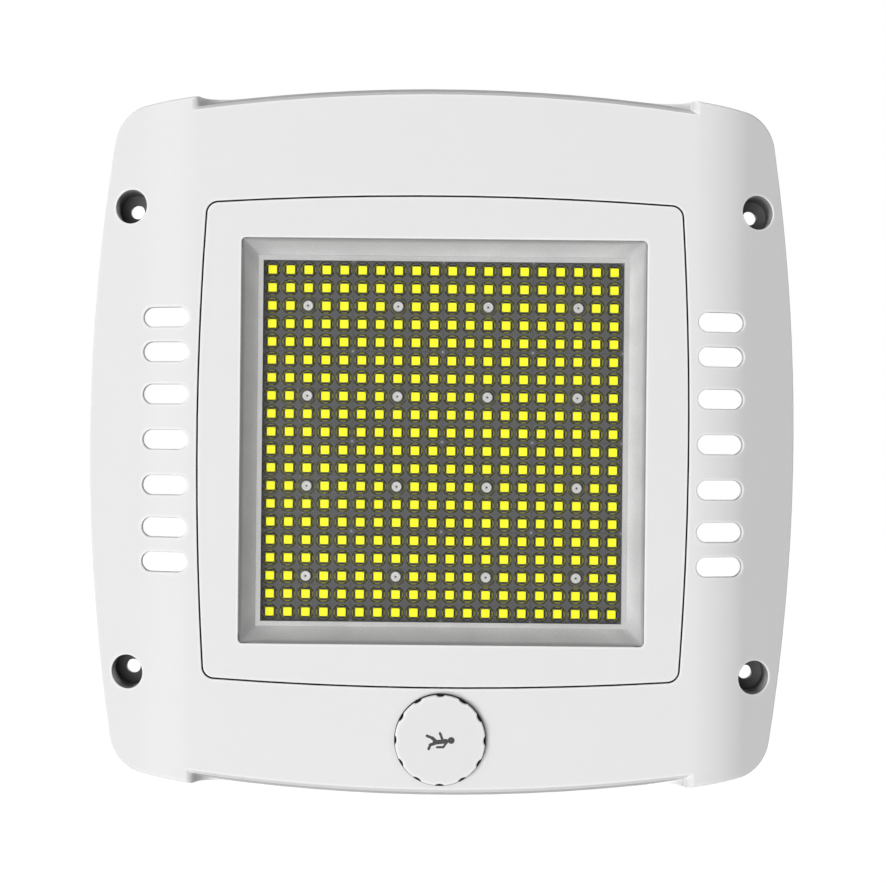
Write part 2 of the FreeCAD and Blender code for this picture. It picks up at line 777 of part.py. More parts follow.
def field_places():
    side = int(size("module_side"))
    pitch = size("led_pitch")
    cells = grid(side, pitch)
    middle = side // 2
    screw_place = (cells[middle], cells[middle])
    lenses = [(x, z) for x in cells for z in cells if (x, z) != screw_place]
    across = grid(int(size("modules_across")), pitch * side)
    modules = [(x, -z) for z in across for x in across]
    return lenses, modules


def lens_shape():
    # One module in its own frame: its back lies in the plane y = 0 and the lenses bulge towards -Y
    lenses, _ = field_places()
    half = size("led_pitch * module_side / 2 - lens_seam / 2")
    base = size("lens_base")
    rise = size("lens_height")
    radius = size("lens_diameter / 2")
    ball = (radius ** 2 + rise ** 2) / (2 * rise)
    front = FreeCAD.Vector(0, -1, 0)
    plate = Part.makeBox(2 * half, base, 2 * half, FreeCAD.Vector(-half, -base, -half))
    plate = plate.makeFillet(size("lens_corner"), [edge for edge in plate.Edges if ALONG_DEPTH(edge)])
    dome = Part.makeSphere(ball, FreeCAD.Vector(0, ball - rise - base, 0))
    dome = dome.common(Part.makeBox(2 * ball, rise, 2 * ball, FreeCAD.Vector(-ball, -base - rise, -ball)))
    pocket = Part.makeCylinder(size("lens_pocket / 2"), size("lens_pocket_depth"), FreeCAD.Vector(), front)
    spots = [FreeCAD.Vector(x, 0, z) for x, z in lenses]
    shape = plate.multiFuse([dome.translated(spot) for spot in spots])
    seat = Part.makeCylinder(radius, base / 2, FreeCAD.Vector(0, -base / 2, 0), front)
    through = Part.makeCylinder(size(HOLE_SMALL), base, FreeCAD.Vector(), front)
    return shape.cut([pocket.translated(spot) for spot in spots] + [seat, through])


def led_parts():
    lenses, modules = field_places()
    shape = lens_shape()
    for number, (x, z) in enumerate(modules, 1):
        array = doc.addObject("Part::Feature", "lens_array")
        array.Shape = shape
        place(array, x, BOARD, z)
        node(f"lens_array_{number:02d}", array)

    side = size("led_size")
    tall = size("led_height")
    chip = Part.makeBox(side, tall, side, FreeCAD.Vector(-side / 2, -tall, -side / 2))
    chips = doc.addObject("Part::Feature", "led_chips")
    chips.Shape = Part.makeCompound(
        [chip.translated(FreeCAD.Vector(u + x, 0, v + z)) for u, v in modules for x, z in lenses]
    )
    place(chips, 0, BOARD, 0)
    node("led_chips", chips)

    half = f"({FIELD} + board_margin)"
    holes = [rod(HOLE_SMALL, x, BOARD, z, "board_thickness") for x, z in modules]
    node("led_board", cut(slab(half, half, BOARD, PAD), fuse(*holes)))
    holes = [rod(HOLE_SMALL, x, PAD, z, "pad_thickness") for x, z in modules]
    node("thermal_pad", cut(slab(half, half, PAD, SINK), fuse(*holes)))

    seat = f"({BOARD} - lens_base / 2)"
    shank = f"{LENS_SCREW_END} - thread_gap - {seat}"
    fastener = screw("small_screw", shank, TO_FRONT, "lens_screw_head", "lens_base / 2")
    node("lens_screws", copies(fastener, [(x, seat, z) for x, z in modules]))


def heat_sink_parts():
    _, modules = field_places()
    corner = "door_corner + door_gap"
    ring = barrel(CHAMBER, CHAMBER, "door_bulge", f"{corner} + chamber_wall", CHAMBER_END, SINK)
    start = f"({CHAMBER_END} - {CLEAR})"
    inside = barrel(OPENING, OPENING, "door_bulge", corner, start, f"{SINK} + {CLEAR}")
    node("body_gasket", cut(ring, inside))

    base = round_edges(slab(SINK_X, SINK_Z, SINK, SINK_BACK), "box_corner", ALONG_DEPTH)
    base = round_edges(base, "sink_round", in_plane(SINK_BACK))
    fins = []
    for step in grid(int(size("fin_count")), 1):
        left = f"{step} * fin_pitch - fin_thickness / 2"
        right = f"{step} * fin_pitch + fin_thickness / 2"
        fins.append(block(left, right, SINK_BACK, FIN_END, "-fin_length / 2", "fin_length / 2"))
    pillars = [rod("pillar_diameter / 2", x, SINK_BACK, z, f"{BOX} - {SINK_BACK}") for x, z in PILLARS]
    lip = "grommet_hole / 2 + grommet_lip"
    passage = rod(lip, "grommet_x", SINK_BACK, TERMINAL_Z, "fin_height + box_gap")
    body = cut(fuse(base, *fins), passage)
    through = f"sink_base + {CLEAR}"
    tools = [rod(HOLE_SMALL, x, SINK, z, f"{LENS_SCREW_END} - {SINK}") for x, z in modules]
    tools += [rod(HOLE_MIDDLE, x, SINK, z, through) for x, z in POSTS]
    tools += [rod(f"{HEAD_MIDDLE} + fit_gap", x, SINK_BACK, z, "fin_height") for x, z in POSTS]
    tools.append(rod("grommet_bore / 2", "grommet_x", SINK, TERMINAL_Z, through))
    holes = [rod(HOLE_LARGE, x, f"{BOX} - {BOX_THREAD}", z, BOX_THREAD) for x, z in PILLARS]
    node("heat_sink", cut(fuse(body, *pillars), fuse(*tools), fuse(*holes)))

    fastener = screw("middle_screw", f"sink_base + body_seal + {SINK_THREAD}", ALONG_Y)
    node("heat_sink_screws", copies(fastener, [(x, SINK_BACK, z) for x, z in POSTS]))


def rounded_box(inset, y0, y1):
    half_x = f"(box_width / 2 - {inset})"
    half_z = f"(box_height / 2 - {inset})"
    return round_edges(slab(half_x, half_z, y0, y1), f"box_corner - {inset}", ALONG_DEPTH)


def box_parts():
    whole = round_edges(rounded_box("0", BOX, BOX_RIM), "box_round", in_plane(BOX))
    shell = cut(whole, rounded_box("box_wall", BOX_INSIDE, f"{BOX_RIM} + {CLEAR}"))
    pads = [rod("box_boss / 2 + box_wall / 2", x, BOX, z, "box_depth") for x, z in BOSSES]
    shell = fuse(shell, *[common(pad, whole) for pad in pads])
    start = f"{BOX_RIM} - {COVER_THREAD}"
    tools = [rod(HOLE_MIDDLE, x, start, z, f"{COVER_THREAD} + {CLEAR}") for x, z in BOSSES]
    tools += [rod(HOLE_LARGE, x, BOX, z, "box_wall") for x, z in PILLARS]
    tools += [rod(HOLE_MIDDLE, x, BOX, z, "box_wall") for x, z in DRIVER_SCREWS]
    tools.append(rod(HOLE_MIDDLE, "earth_x", BOX, TERMINAL_Z, "box_wall"))
    tools.append(rod("grommet_hole / 2", "grommet_x", BOX, TERMINAL_Z, "box_wall"))
    upper = "(box_height / 2 - box_wall)"
    for radius, x, z in (
        ("gland_thread / 2 + thread_gap", "gland_x", upper),
        ("breather_thread / 2 + thread_gap", "breather_x", upper),
        ("grommet_hole / 2", "grommet_x", "-box_height / 2"),
    ):
        tools.append(rod(radius, x, BOX_MIDDLE, z, "box_wall", ALONG_Z))
    node("driver_box", cut(shell, fuse(*tools)))

    fastener = screw("large_screw", f"box_wall + {BOX_THREAD} - thread_gap", ALONG_Y)
    node("box_screws", copies(fastener, [(x, BOX_INSIDE, z) for x, z in PILLARS]))

    seal = cut(rounded_box("0", BOX_RIM, COVER), rounded_box("box_wall", BOX_RIM, COVER))
    node("cover_gasket", seal)
    holes = [rod(HOLE_MIDDLE, x, COVER, z, "cover_thickness") for x, z in BOSSES]
    plate = round_edges(rounded_box("0", COVER, COVER_BACK), "box_round", in_plane(COVER_BACK))
    node("rear_cover", cut(plate, fuse(*holes)))
    fastener = screw("middle_screw", f"cover_thickness + cover_seal + {COVER_THREAD} - thread_gap", ALONG_Y)
    node("cover_screws", copies(fastener, [(x, COVER_BACK, z) for x, z in BOSSES]))


def supply_parts():
    ear = f"({DRIVER_HALF} + driver_ear)"
    low = f"{DRIVER_Z} - {DRIVER_WIDTH} / 2"
    high = f"{DRIVER_Z} + {DRIVER_WIDTH} / 2"
    case = block(f"-{DRIVER_HALF}", DRIVER_HALF, BOX_INSIDE, f"{BOX_INSIDE} + driver_height", low, high)
    case = round_edges(case, "ear_thickness", ALONG_DEPTH)
    ears = block(f"-{ear}", ear, BOX_INSIDE, f"{BOX_INSIDE} + ear_thickness", low, high)
    holes = [rod(HOLE_MIDDLE, x, BOX_INSIDE, z, "ear_thickness") for x, z in DRIVER_SCREWS]
    node("driver", cut(fuse(case, ears), fuse(*holes)))
    fastener = screw("middle_screw", "box_wall + ear_thickness - thread_gap", ALONG_Y)
    seat = f"{BOX_INSIDE} + ear_thickness"
    node("driver_screws", copies(fastener, [(x, seat, z) for x, z in DRIVER_SCREWS]))

    top = f"({BOX_INSIDE} + terminal_height)"
    body = block(
        "terminal_x - terminal_length / 2", "terminal_x + terminal_length / 2", BOX_INSIDE, top,
        f"{TERMINAL_Z} - terminal_width / 2", f"{TERMINAL_Z} + terminal_width / 2",
    )
    poles = [f"terminal_x + {step} * terminal_pitch" for step in (-1, 0, 1)]
    level = f"{BOX_INSIDE} + terminal_height / 3"
    side = f"{TERMINAL_Z} - terminal_width / 2"
    tools = [rod("terminal_bore / 2", x, level, side, "terminal_width", ALONG_Z) for x in poles]
    depth = "(terminal_height / 2)"
    tools += [rod(f"{HEAD_SMALL} + fit_gap", x, f"{top} - {depth} / 2", TERMINAL_Z, depth) for x in poles]
    tools += [rod(HOLE_SMALL, x, f"{top} - {depth}", TERMINAL_Z, depth) for x in poles]
    node("terminal_block", cut(body, fuse(*tools)))
    fastener = screw("small_screw", f"{depth} / 2 - thread_gap", ALONG_Y)
    node("terminal_screws", copies(fastener, [(x, f"{top} - {depth} / 2", TERMINAL_Z) for x in poles]))
    fastener = screw("middle_screw", "box_wall - thread_gap", ALONG_Y)
    node("earth_screw", copies(fastener, [("earth_x", BOX_INSIDE, TERMINAL_Z)]))


def grommet(label, y, z, rotation):
    # A rubber ring that grips a wall between two lips; its height starts at the outer face of the wall
    bore = "grommet_bore / 2"
    neck = "grommet_hole / 2"
    lip = "grommet_hole / 2 + grommet_lip - fit_gap"
    points = [
        (bore, "-grommet_lip_thickness"),
        (lip, "-grommet_lip_thickness"),
        (lip, 0),
        (neck, 0),
        (neck, "box_wall"),
        (lip, "box_wall"),
        (lip, "box_wall + grommet_lip_thickness"),
        (bore, "box_wall + grommet_lip_thickness"),
    ]
    node(label, turned(label, points, "grommet_x", y, z, rotation))


def inlet_parts():
    wall_out = "box_height / 2"
    thread = "gland_thread / 2"
    bore = "gland_bore / 2"
    seat = f"({wall_out} + gland_washer)"
    collar = hexagon("gland_across", "gland_x", BOX_MIDDLE, seat, "gland_flange")
    tail = f"(box_wall + nut_thickness + {CLEAR})"
    stem = rod(thread, "gland_x", BOX_MIDDLE, f"{wall_out} - {tail}", f"{tail} + gland_washer", ALONG_Z)
    neck = rod(thread, "gland_x", BOX_MIDDLE, f"{seat} + gland_flange", "gland_neck", ALONG_Z)
    hole = rod(bore, "gland_x", BOX_MIDDLE, f"{wall_out} - {tail}", f"{tail} + 3 * gland_neck", ALONG_Z)
    node("gland_body", cut(fuse(collar, stem, neck), hole))

    ring = rod("gland_across / 2", "gland_x", BOX_MIDDLE, wall_out, "gland_washer", ALONG_Z)
    hole = rod(f"{thread} + thread_gap", "gland_x", BOX_MIDDLE, wall_out, "gland_washer", ALONG_Z)
    node("gland_washer", cut(ring, hole))

    inner = f"({wall_out} - box_wall - nut_thickness)"
    nut = hexagon("gland_across", "gland_x", BOX_MIDDLE, inner, "nut_thickness")
    hole = rod(f"{thread} + thread_gap", "gland_x", BOX_MIDDLE, inner, "nut_thickness", ALONG_Z)
    node("gland_locknut", cut(nut, hole))

    start = f"({seat} + gland_flange + fit_gap)"
    outer = hexagon("gland_across", "gland_x", BOX_MIDDLE, start, "dome_length")
    dome = turned(
        "dome",
        [
            (0, 0),
            ("gland_across / sqrt(3)", 0),
            ("gland_across / sqrt(3)", "dome_length / 2"),
            ("dome_mouth / 2", "dome_length"),
            (0, "dome_length"),
        ],
        "gland_x", BOX_MIDDLE, start, ALONG_Z,
    )
    hollow = rod(f"{thread} + thread_gap", "gland_x", BOX_MIDDLE, start, DOME_HOLLOW, ALONG_Z)
    mouth = rod(bore, "gland_x", BOX_MIDDLE, start, "dome_length", ALONG_Z)
    node("gland_dome_nut", cut(common(outer, dome), hollow, mouth))

    seal_start = f"({seat} + gland_flange + gland_neck)"
    sleeve = rod(thread, "gland_x", BOX_MIDDLE, seal_start, "seal_length", ALONG_Z)
    hole = rod("seal_bore / 2", "gland_x", BOX_MIDDLE, seal_start, "seal_length", ALONG_Z)
    node("gland_seal", cut(sleeve, hole))

    head = hexagon("breather_across", "breather_x", BOX_MIDDLE, wall_out, "breather_height")
    plug = rod("breather_thread / 2", "breather_x", BOX_MIDDLE, f"{wall_out} - box_wall", "box_wall", ALONG_Z)
    vent = rod("breather_bore / 2", "breather_x", BOX_MIDDLE, f"{wall_out} - box_wall", "box_wall", ALONG_Z)
    slot = block(
        "breather_x - breather_across", "breather_x + breather_across",
        f"{BOX_MIDDLE} - breather_slot / 2", f"{BOX_MIDDLE} + breather_slot / 2",
        f"{wall_out} + breather_height / 2", f"{wall_out} + breather_height",
    )
    node("breather_valve", cut(fuse(head, plug), vent, slot))

    grommet("lead_grommet", BOX, TERMINAL_Z, ALONG_Y)
    grommet("sensor_grommet", BOX_MIDDLE, "-box_height / 2", ALONG_Z)


def sensor_parts():
    ledge = "(-socket_flange_thickness)"
    end = "(-socket_depth - socket_floor)"
    points = [
        (WIRE_HOLE, end),
        (TUBE, end),
        (TUBE, ledge),
        (FLANGE, ledge),
        (FLANGE, 0),
        (THREAD, 0),
        (THREAD, "-socket_depth"),
        (WIRE_HOLE, "-socket_depth"),
    ]
    node("sensor_socket", turned("sensor_socket", points, 0, FACE, SENSOR_Z))

    nut_start = f"({FACE} + wall)"
    nut_end = f"({nut_start} + socket_nut_thickness)"
    ring = rod(SOCKET_NUT, 0, nut_start, SENSOR_Z, "socket_nut_thickness")
    hole = rod(f"{TUBE} + thread_gap", 0, nut_start, SENSOR_Z, "socket_nut_thickness")
    grip = f"({CAP} * grip_share)"
    notch = f"({CAP} * grip_depth_share)"
    for side in "+-":
        rim = f"{SENSOR_Z} {side} {SOCKET_NUT}"
        ring = cut(ring, block(f"-{grip}", grip, nut_start, nut_end, f"{rim} - {notch}", f"{rim} + {notch}"))
    node("socket_nut", cut(ring, hole))

    board = f"({FACE} + socket_depth - sensor_board)"
    node("sensor_board", rod(f"{THREAD} - fit_gap", 0, board, SENSOR_Z, "sensor_board"))
    half = f"({CAP} * can_share)"
    front = f"{board} - sensor_can_height"
    can = block(f"-{half}", half, front, board, f"{SENSOR_Z} - {half}", f"{SENSOR_Z} + {half}")
    node("sensor_module", round_edges(can, "window_round / 2", ALONG_DEPTH))

    outer = f"({CAP} + cap_seal_reach)"
    points = [
        (f"{THREAD} + fit_gap", 0),
        (outer, 0),
        (outer, "cap_seal"),
        (f"{THREAD} + fit_gap", "cap_seal"),
    ]
    node("cap_seal", turned("cap_seal", points, 0, FACE, SENSOR_Z))
    node("sensor_cap", sensor_cap())


def sensor_cap():
    skirt = f"({THREAD} - cap_thread_gap)"
    bore = f"({skirt} - 2 * {CAP} * skirt_share)"
    crown = "(cap_seal + cap_thickness)"
    points = [
        (0, f"{crown} - cap_crown"),
        (bore, f"{crown} - cap_crown"),
        (bore, "-cap_skirt"),
        (skirt, "-cap_skirt"),
        (skirt, "cap_seal"),
        (CAP, "cap_seal"),
        (CAP, crown),
        (0, crown),
    ]
    knob = turned("sensor_cap", points, 0, FACE, SENSOR_Z)
    planes = {feature.Role: feature for feature in knob.Origin.OriginFeatures}
    notch = knob.newObject("Sketcher::SketchObject", "scallop")
    notch.AttachmentSupport = (planes["XY_Plane"], [""])
    notch.MapMode = "FlatFace"
    radius = f"(2 * {CAP} * scallop_share)"
    offset = f"{CAP} - 2 * {CAP} * scallop_depth_share + {radius}"
    centre = FreeCAD.Vector(0, size(offset), 0)
    notch.addGeometry(Part.Circle(centre, FreeCAD.Vector(0, 0, 1), size(radius)), False)
    notch.addConstraint(Sketcher.Constraint("PointOnObject", 0, 3, -2))
    held = notch.addConstraint(Sketcher.Constraint("DistanceY", -1, 1, 0, 3, centre.y))
    bind(notch, f"Constraints[{held}]", offset)
    held = notch.addConstraint(Sketcher.Constraint("Radius", 0, size(radius)))
    bind(notch, f"Constraints[{held}]", radius)
    pocket = knob.newObject("PartDesign::Pocket", "scallop_cut")
    pocket.Profile = notch
    pocket.Reversed = True
    bind(pocket, "Length", f"{crown} + cap_skirt")
    ring = knob.newObject("PartDesign::PolarPattern", "scallops")
    ring.Originals = [pocket]
    ring.Axis = (notch, ["N_Axis"])
    ring.Angle = 360
    ring.Occurrences = int(size("scallop_count"))
    knob.Tip = ring
    level = size(crown)

    def on_crown(edge):
        return abs(edge.BoundBox.ZMin - level) < NEAR and abs(edge.BoundBox.ZMax - level) < NEAR

    fillet_body(knob, ring, "cap_round", on_crown)
    return knob


front_housing()
door_parts()
window_parts()
led_parts()
heat_sink_parts()
box_parts()
supply_parts()
inlet_parts()
sensor_parts()
doc.recompute()

for obj in doc.Objects:
    if "Invalid" in obj.State or "Error" in obj.State:
        raise RuntimeError(f"{obj.Label} failed: {obj.State}")
os.makedirs("parts", exist_ok=True)
for label, obj in NODES.items():
    if obj.Shape.isNull() or not obj.Shape.isValid():
        raise RuntimeError(f"{label} has no valid shape")
    obj.Shape.exportStep(f"parts/{label}.step")
    print(label, len(obj.Shape.Solids), round(obj.Shape.Volume, 1))
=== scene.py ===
import json
import math

import bmesh
import bpy
from mathutils import Matrix, Vector

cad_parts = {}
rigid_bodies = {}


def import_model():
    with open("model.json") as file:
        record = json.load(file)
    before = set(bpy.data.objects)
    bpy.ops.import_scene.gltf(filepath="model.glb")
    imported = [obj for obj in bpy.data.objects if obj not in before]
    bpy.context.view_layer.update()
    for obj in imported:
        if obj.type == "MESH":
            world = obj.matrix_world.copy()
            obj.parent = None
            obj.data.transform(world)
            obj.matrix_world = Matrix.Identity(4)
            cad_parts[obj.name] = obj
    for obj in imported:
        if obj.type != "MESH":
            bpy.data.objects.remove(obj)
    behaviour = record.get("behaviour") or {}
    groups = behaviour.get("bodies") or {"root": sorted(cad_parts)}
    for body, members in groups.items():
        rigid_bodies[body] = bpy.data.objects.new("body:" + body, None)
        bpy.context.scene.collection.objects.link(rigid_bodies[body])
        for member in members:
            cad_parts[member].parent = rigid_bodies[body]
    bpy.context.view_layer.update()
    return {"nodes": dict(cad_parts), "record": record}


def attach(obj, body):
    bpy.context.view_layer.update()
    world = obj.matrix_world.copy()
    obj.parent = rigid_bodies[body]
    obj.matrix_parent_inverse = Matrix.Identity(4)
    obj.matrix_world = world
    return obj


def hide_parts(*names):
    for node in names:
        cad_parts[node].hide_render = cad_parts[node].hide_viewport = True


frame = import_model()
cadNodes = frame["nodes"]
slotOfNode = {part["node"]: part["material_slot"] for part in frame["record"]["subparts"]}
millimetre = 0.001
print("frame loaded with", len(cadNodes), "nodes")


# shared helpers for node trees

def addNode(tree, kind, inputs=None, **settings):
    node = tree.nodes.new(kind)
    for name, value in settings.items():
        setattr(node, name, value)
    for name, value in (inputs or {}).items():
        feed(tree, node.inputs[name], value)
    return node


def feed(tree, socket, value):  # a socket takes a link or a plain value
    if isinstance(value, bpy.types.NodeSocket):
        tree.links.new(value, socket)
    else:
        socket.default_value = value


def calc(tree, operation, first, second=0.0):
    return addNode(tree, "ShaderNodeMath", {0: first, 1: second}, operation=operation).outputs[0]


def plus(tree, first, second):
    return calc(tree, "ADD", first, second)


def minus(tree, first, second):
    return calc(tree, "SUBTRACT", first, second)


def times(tree, *values):
    product = values[0]
    for value in values[1:]:
        product = calc(tree, "MULTIPLY", product, value)
    return product


def largest(tree, *values):
    most = values[0]
    for value in values[1:]:
        most = calc(tree, "MAXIMUM", most, value)
    return most


def absolute(tree, value):
    return calc(tree, "ABSOLUTE", value)


def flip(tree, mask):
    return minus(tree, 1.0, mask)


def length(tree, first, second):
    return calc(tree, "SQRT", plus(tree, times(tree, first, first), times(tree, second, second)))


def below(tree, value, edge, soft):  # 1 under the edge, falling smoothly to 0 over it
    return addNode(tree, "ShaderNodeMapRange", {
        "Value": value, "From Min": edge - soft, "From Max": edge + soft, "To Min": 1.0, "To Max": 0.0,
    }, interpolation_type="SMOOTHSTEP").outputs["Result"]


def band(tree, value, middle, half, soft):  # 1 within half of the middle
    return below(tree, absolute(tree, minus(tree, value, middle)), half, soft)


def opaque(colour):  # red, green and blue gain an alpha of 1, a link stays as it is
    return colour if isinstance(colour, bpy.types.NodeSocket) else (*colour, 1.0)


def blendColour(tree, mask, under, over):
    inputs = {0: mask, 6: opaque(under), 7: opaque(over)}  # 6 and 7: the colours
    return addNode(tree, "ShaderNodeMix", inputs, data_type="RGBA").outputs[2]


def noise(tree, place, scale, detail):
    inputs = {"Vector": place, "Scale": scale, "Detail": detail}
    return addNode(tree, "ShaderNodeTexNoise", inputs).outputs[0]


def vectorMath(tree, operation, *inputs):
    return addNode(tree, "ShaderNodeVectorMath", dict(enumerate(inputs)), operation=operation).outputs


def separate(tree, vector):
    return addNode(tree, "ShaderNodeSeparateXYZ", {0: vector}).outputs


# shared node groups

def newGroup(name, inputs, outputs):
    group = bpy.data.node_groups.new(name, "ShaderNodeTree")
    for label, kind, value in inputs:
        socket = group.interface.new_socket(name=label, in_out="INPUT", socket_type=kind)
        if value is not None:
            socket.default_value = value
    for label, kind in outputs:
        group.interface.new_socket(name=label, in_out="OUTPUT", socket_type=kind)
    given = group.nodes.new("NodeGroupInput").outputs
    return group, given, group.nodes.new("NodeGroupOutput").inputs


bumpDepth = 0.0002
noiseMiddle = 0.5  # a noise swings about evenly round it
surfaceInputs = [
    ("Vector", "NodeSocketVector", None),
    ("Base", "NodeSocketColor", (0.8, 0.8, 0.8, 1.0)),
    ("Variation", "NodeSocketFloat", 0.1),
    ("Roughness", "NodeSocketFloat", 0.5),
    ("Spread", "NodeSocketFloat", 0.1),
    ("Tooth", "NodeSocketFloat", 0.1),
]
surfaceOutputs = [
    ("Colour", "NodeSocketColor"),
    ("Roughness", "NodeSocketFloat"),
    ("Normal", "NodeSocketVector"),
]


def closeSurface(group, given, result, swing, drift, height):  # colour, roughness and bump in step
    colour = addNode(group, "ShaderNodeVectorMath", {0: given["Base"]}, operation="SCALE")
    feed(group, colour.inputs["Scale"], plus(group, times(group, swing, given["Variation"]), 1.0))
    lift = times(group, drift, given["Spread"])
    bump = addNode(
        group, "ShaderNodeBump", {"Height": height, "Strength": given["Tooth"], "Distance": bumpDepth},
    )
    feed(group, result["Colour"], colour.outputs[0])
    feed(group, result["Roughness"], plus(group, given["Roughness"], lift))
    feed(group, result["Normal"], bump.outputs[0])


def grainGroup():  # fine tooth plus broad cloudiness, for paint, plastic and rubber
    inputs = surfaceInputs + [("Scale", "NodeSocketFloat", 900.0)]
    group, given, result = newGroup("fineGrain", inputs, surfaceOutputs)
    cloudShare = 0.04
    tooth = noise(group, given["Vector"], given["Scale"], detail=3.0)
    cloud = noise(group, given["Vector"], times(group, given["Scale"], cloudShare), detail=2.0)
    swing = minus(group, plus(group, tooth, cloud), 2 * noiseMiddle)
    closeSurface(group, given, result, swing, minus(group, cloud, noiseMiddle), tooth)
    return group


def streakGroup():  # drawn-out streaks, for cast fins, rolled sheet and plated screws
    inputs = surfaceInputs + [("Stretch", "NodeSocketVector", (1.0, 1.0, 1.0))]
    group, given, result = newGroup("metalStreak", inputs, surfaceOutputs)
    drawn = vectorMath(group, "MULTIPLY", given["Vector"], given["Stretch"])[0]
    streak = noise(group, drawn, scale=1.0, detail=4.0)
    swing = minus(group, streak, noiseMiddle)
    closeSurface(group, given, result, swing, swing, streak)
    return group


edgeFinding = {"facing": 0.95, "soft": 0.04, "breakupScale": 250.0, "leastBreakup": 0.5}


def edgeGroup():  # broken line along the edges: rubbed wear on metal, nylon and rubber, a painted highlight on paint and plastic
    group, given, result = newGroup(
        "edgeWearAndHighlight",
        [
            ("Vector", "NodeSocketVector", None),
            ("Radius", "NodeSocketFloat", 0.0006),
            ("Amount", "NodeSocketFloat", 1.0),
        ],
        [("Mask", "NodeSocketFloat")],
    )
    rounded = addNode(group, "ShaderNodeBevel", {"Radius": given["Radius"]}, samples=4).outputs[0]
    plain = addNode(group, "ShaderNodeNewGeometry").outputs["Normal"]
    facing = vectorMath(group, "DOT_PRODUCT", rounded, plain)["Value"]
    turned = below(group, facing, edgeFinding["facing"], edgeFinding["soft"])
    breakup = noise(group, given["Vector"], edgeFinding["breakupScale"], detail=3.0)
    broken = times(group, plus(group, breakup, edgeFinding["leastBreakup"]), given["Amount"])
    feed(group, result["Mask"], calc(group, "MINIMUM", times(group, turned, broken), 1.0))
    return group


# LED grid, in millimetres
field = {
    "pitch": 8.15, "moduleSide": 5, "modulesAcross": 4, "seam": 0.1,
    "cornerRound": 1.0, "cornerFrom": 0.1, "cornerSoft": 0.04,
}
moduleSpan = field["pitch"] * field["moduleSide"]


def cellGroup():  # where a point lies within its LED place, in millimetres
    outputs = ("Across", "Up", "Radius", "Turn", "LensPlace", "CornerGap", "FromSeam")
    group, given, result = newGroup(
        "fieldCell", [("Vector", "NodeSocketVector", None)], [(name, "NodeSocketFloat") for name in outputs],
    )
    scaled = addNode(group, "ShaderNodeVectorMath", {0: given["Vector"]}, operation="SCALE")
    scaled.inputs["Scale"].default_value = 1.0 / millimetre

    def wrapped(span):  # distances along X and Z from the middle of a repeating square
        half = span / 2
        moved = vectorMath(group, "ADD", scaled.outputs[0], (half, 0.0, half))[0]
        wrap = vectorMath(group, "WRAP", moved, (half, half, half), (-half, -half, -half))[0]
        parts = separate(group, wrap)
        return [absolute(group, parts[axis]) for axis in ("X", "Z")]

    across, up = wrapped(field["pitch"])
    fromModule = wrapped(moduleSpan)
    radius = length(group, across, up)
    reach = field["cornerRound"] + field["seam"] / 2
    inward = [largest(group, minus(group, along, moduleSpan / 2 - reach), 0.0) for along in fromModule]
    nearCorner = calc(group, "GREATER_THAN", calc(group, "MINIMUM", *inward), field["cornerFrom"])
    outside = flip(group, below(group, length(group, *inward), field["cornerRound"], field["cornerSoft"]))
    farthest = largest(group, *fromModule)
    feed(group, result["Across"], across)
    feed(group, result["Up"], up)
    feed(group, result["Radius"], radius)
    feed(group, result["Turn"], calc(group, "DIVIDE", calc(group, "MINIMUM", across, up), radius))
    feed(group, result["LensPlace"], calc(group, "GREATER_THAN", farthest, field["pitch"] / 2))
    feed(group, result["CornerGap"], times(group, nearCorner, outside))
    feed(group, result["FromSeam"], minus(group, moduleSpan / 2, farthest))
    return group


fineGrain = grainGroup()
metalStreak = streakGroup()
edgeWearAndHighlight = edgeGroup()
fieldCell = cellGroup()
print("shared node groups built")


# finishes

def newMaterial(name):
    material = bpy.data.materials.new(name)
    material.use_nodes = True
    tree = material.node_tree
    tree.nodes.clear()
    shader = addNode(tree, "ShaderNodeBsdfPrincipled")
    output = addNode(tree, "ShaderNodeOutputMaterial")
    tree.links.new(shader.outputs[0], output.inputs["Surface"])
    place = addNode(tree, "ShaderNodeTexCoord").outputs["Object"]
    return material, tree, shader, place


def useGroup(tree, group, inputs):
    node = addNode(tree, "ShaderNodeGroup", node_tree=group)
    for name, value in inputs.items():
        feed(tree, node.inputs[name], value)
    return node.outputs


def useSurface(tree, shader, group, place, colour, settings):
    surface = useGroup(tree, group, {"Vector": place, "Base": opaque(colour), **settings})
    feed(tree, shader.inputs["Base Color"], surface["Colour"])
    feed(tree, shader.inputs["Roughness"], surface["Roughness"])
    feed(tree, shader.inputs["Normal"], surface["Normal"])
    return surface


def blendEdgeWearAndHighlight(tree, place, colour, wearAndHighlight):  # blends the edges towards their own colour, which is wear on metal, nylon and rubber and a painted highlight on paint and plastic
    inputs = {"Vector": place, "Radius": wearAndHighlight["radius"], "Amount": wearAndHighlight["amount"]}
    edgeMask = useGroup(tree, edgeWearAndHighlight, inputs)["Mask"]
    return edgeMask, blendColour(tree, edgeMask, colour, wearAndHighlight["colour"])


def grainMaterial(name, look, shade=None):
    material, tree, shader, place = newMaterial(name)
    colour = look["base"]
    if look["wearAndHighlight"]:
        colour = blendEdgeWearAndHighlight(tree, place, colour, look["wearAndHighlight"])[1]
    if shade:
        colour = shade(tree, place, colour)
    useSurface(tree, shader, fineGrain, place, colour, look["grain"])
    shader.inputs["Specular IOR Level"].default_value = look["specular"]
    return material


def streakMaterial(name, look):
    material, tree, shader, place = newMaterial(name)
    edgeMask, colour = blendEdgeWearAndHighlight(tree, place, look["base"], look["wearAndHighlight"])
    surface = useSurface(tree, shader, metalStreak, place, colour, look["streak"])
    smoother = times(tree, edgeMask, look["wearAndHighlight"]["smoother"])
    feed(tree, shader.inputs["Roughness"], minus(tree, surface["Roughness"], smoother))
    shader.inputs["Metallic"].default_value = 1.0
    return material


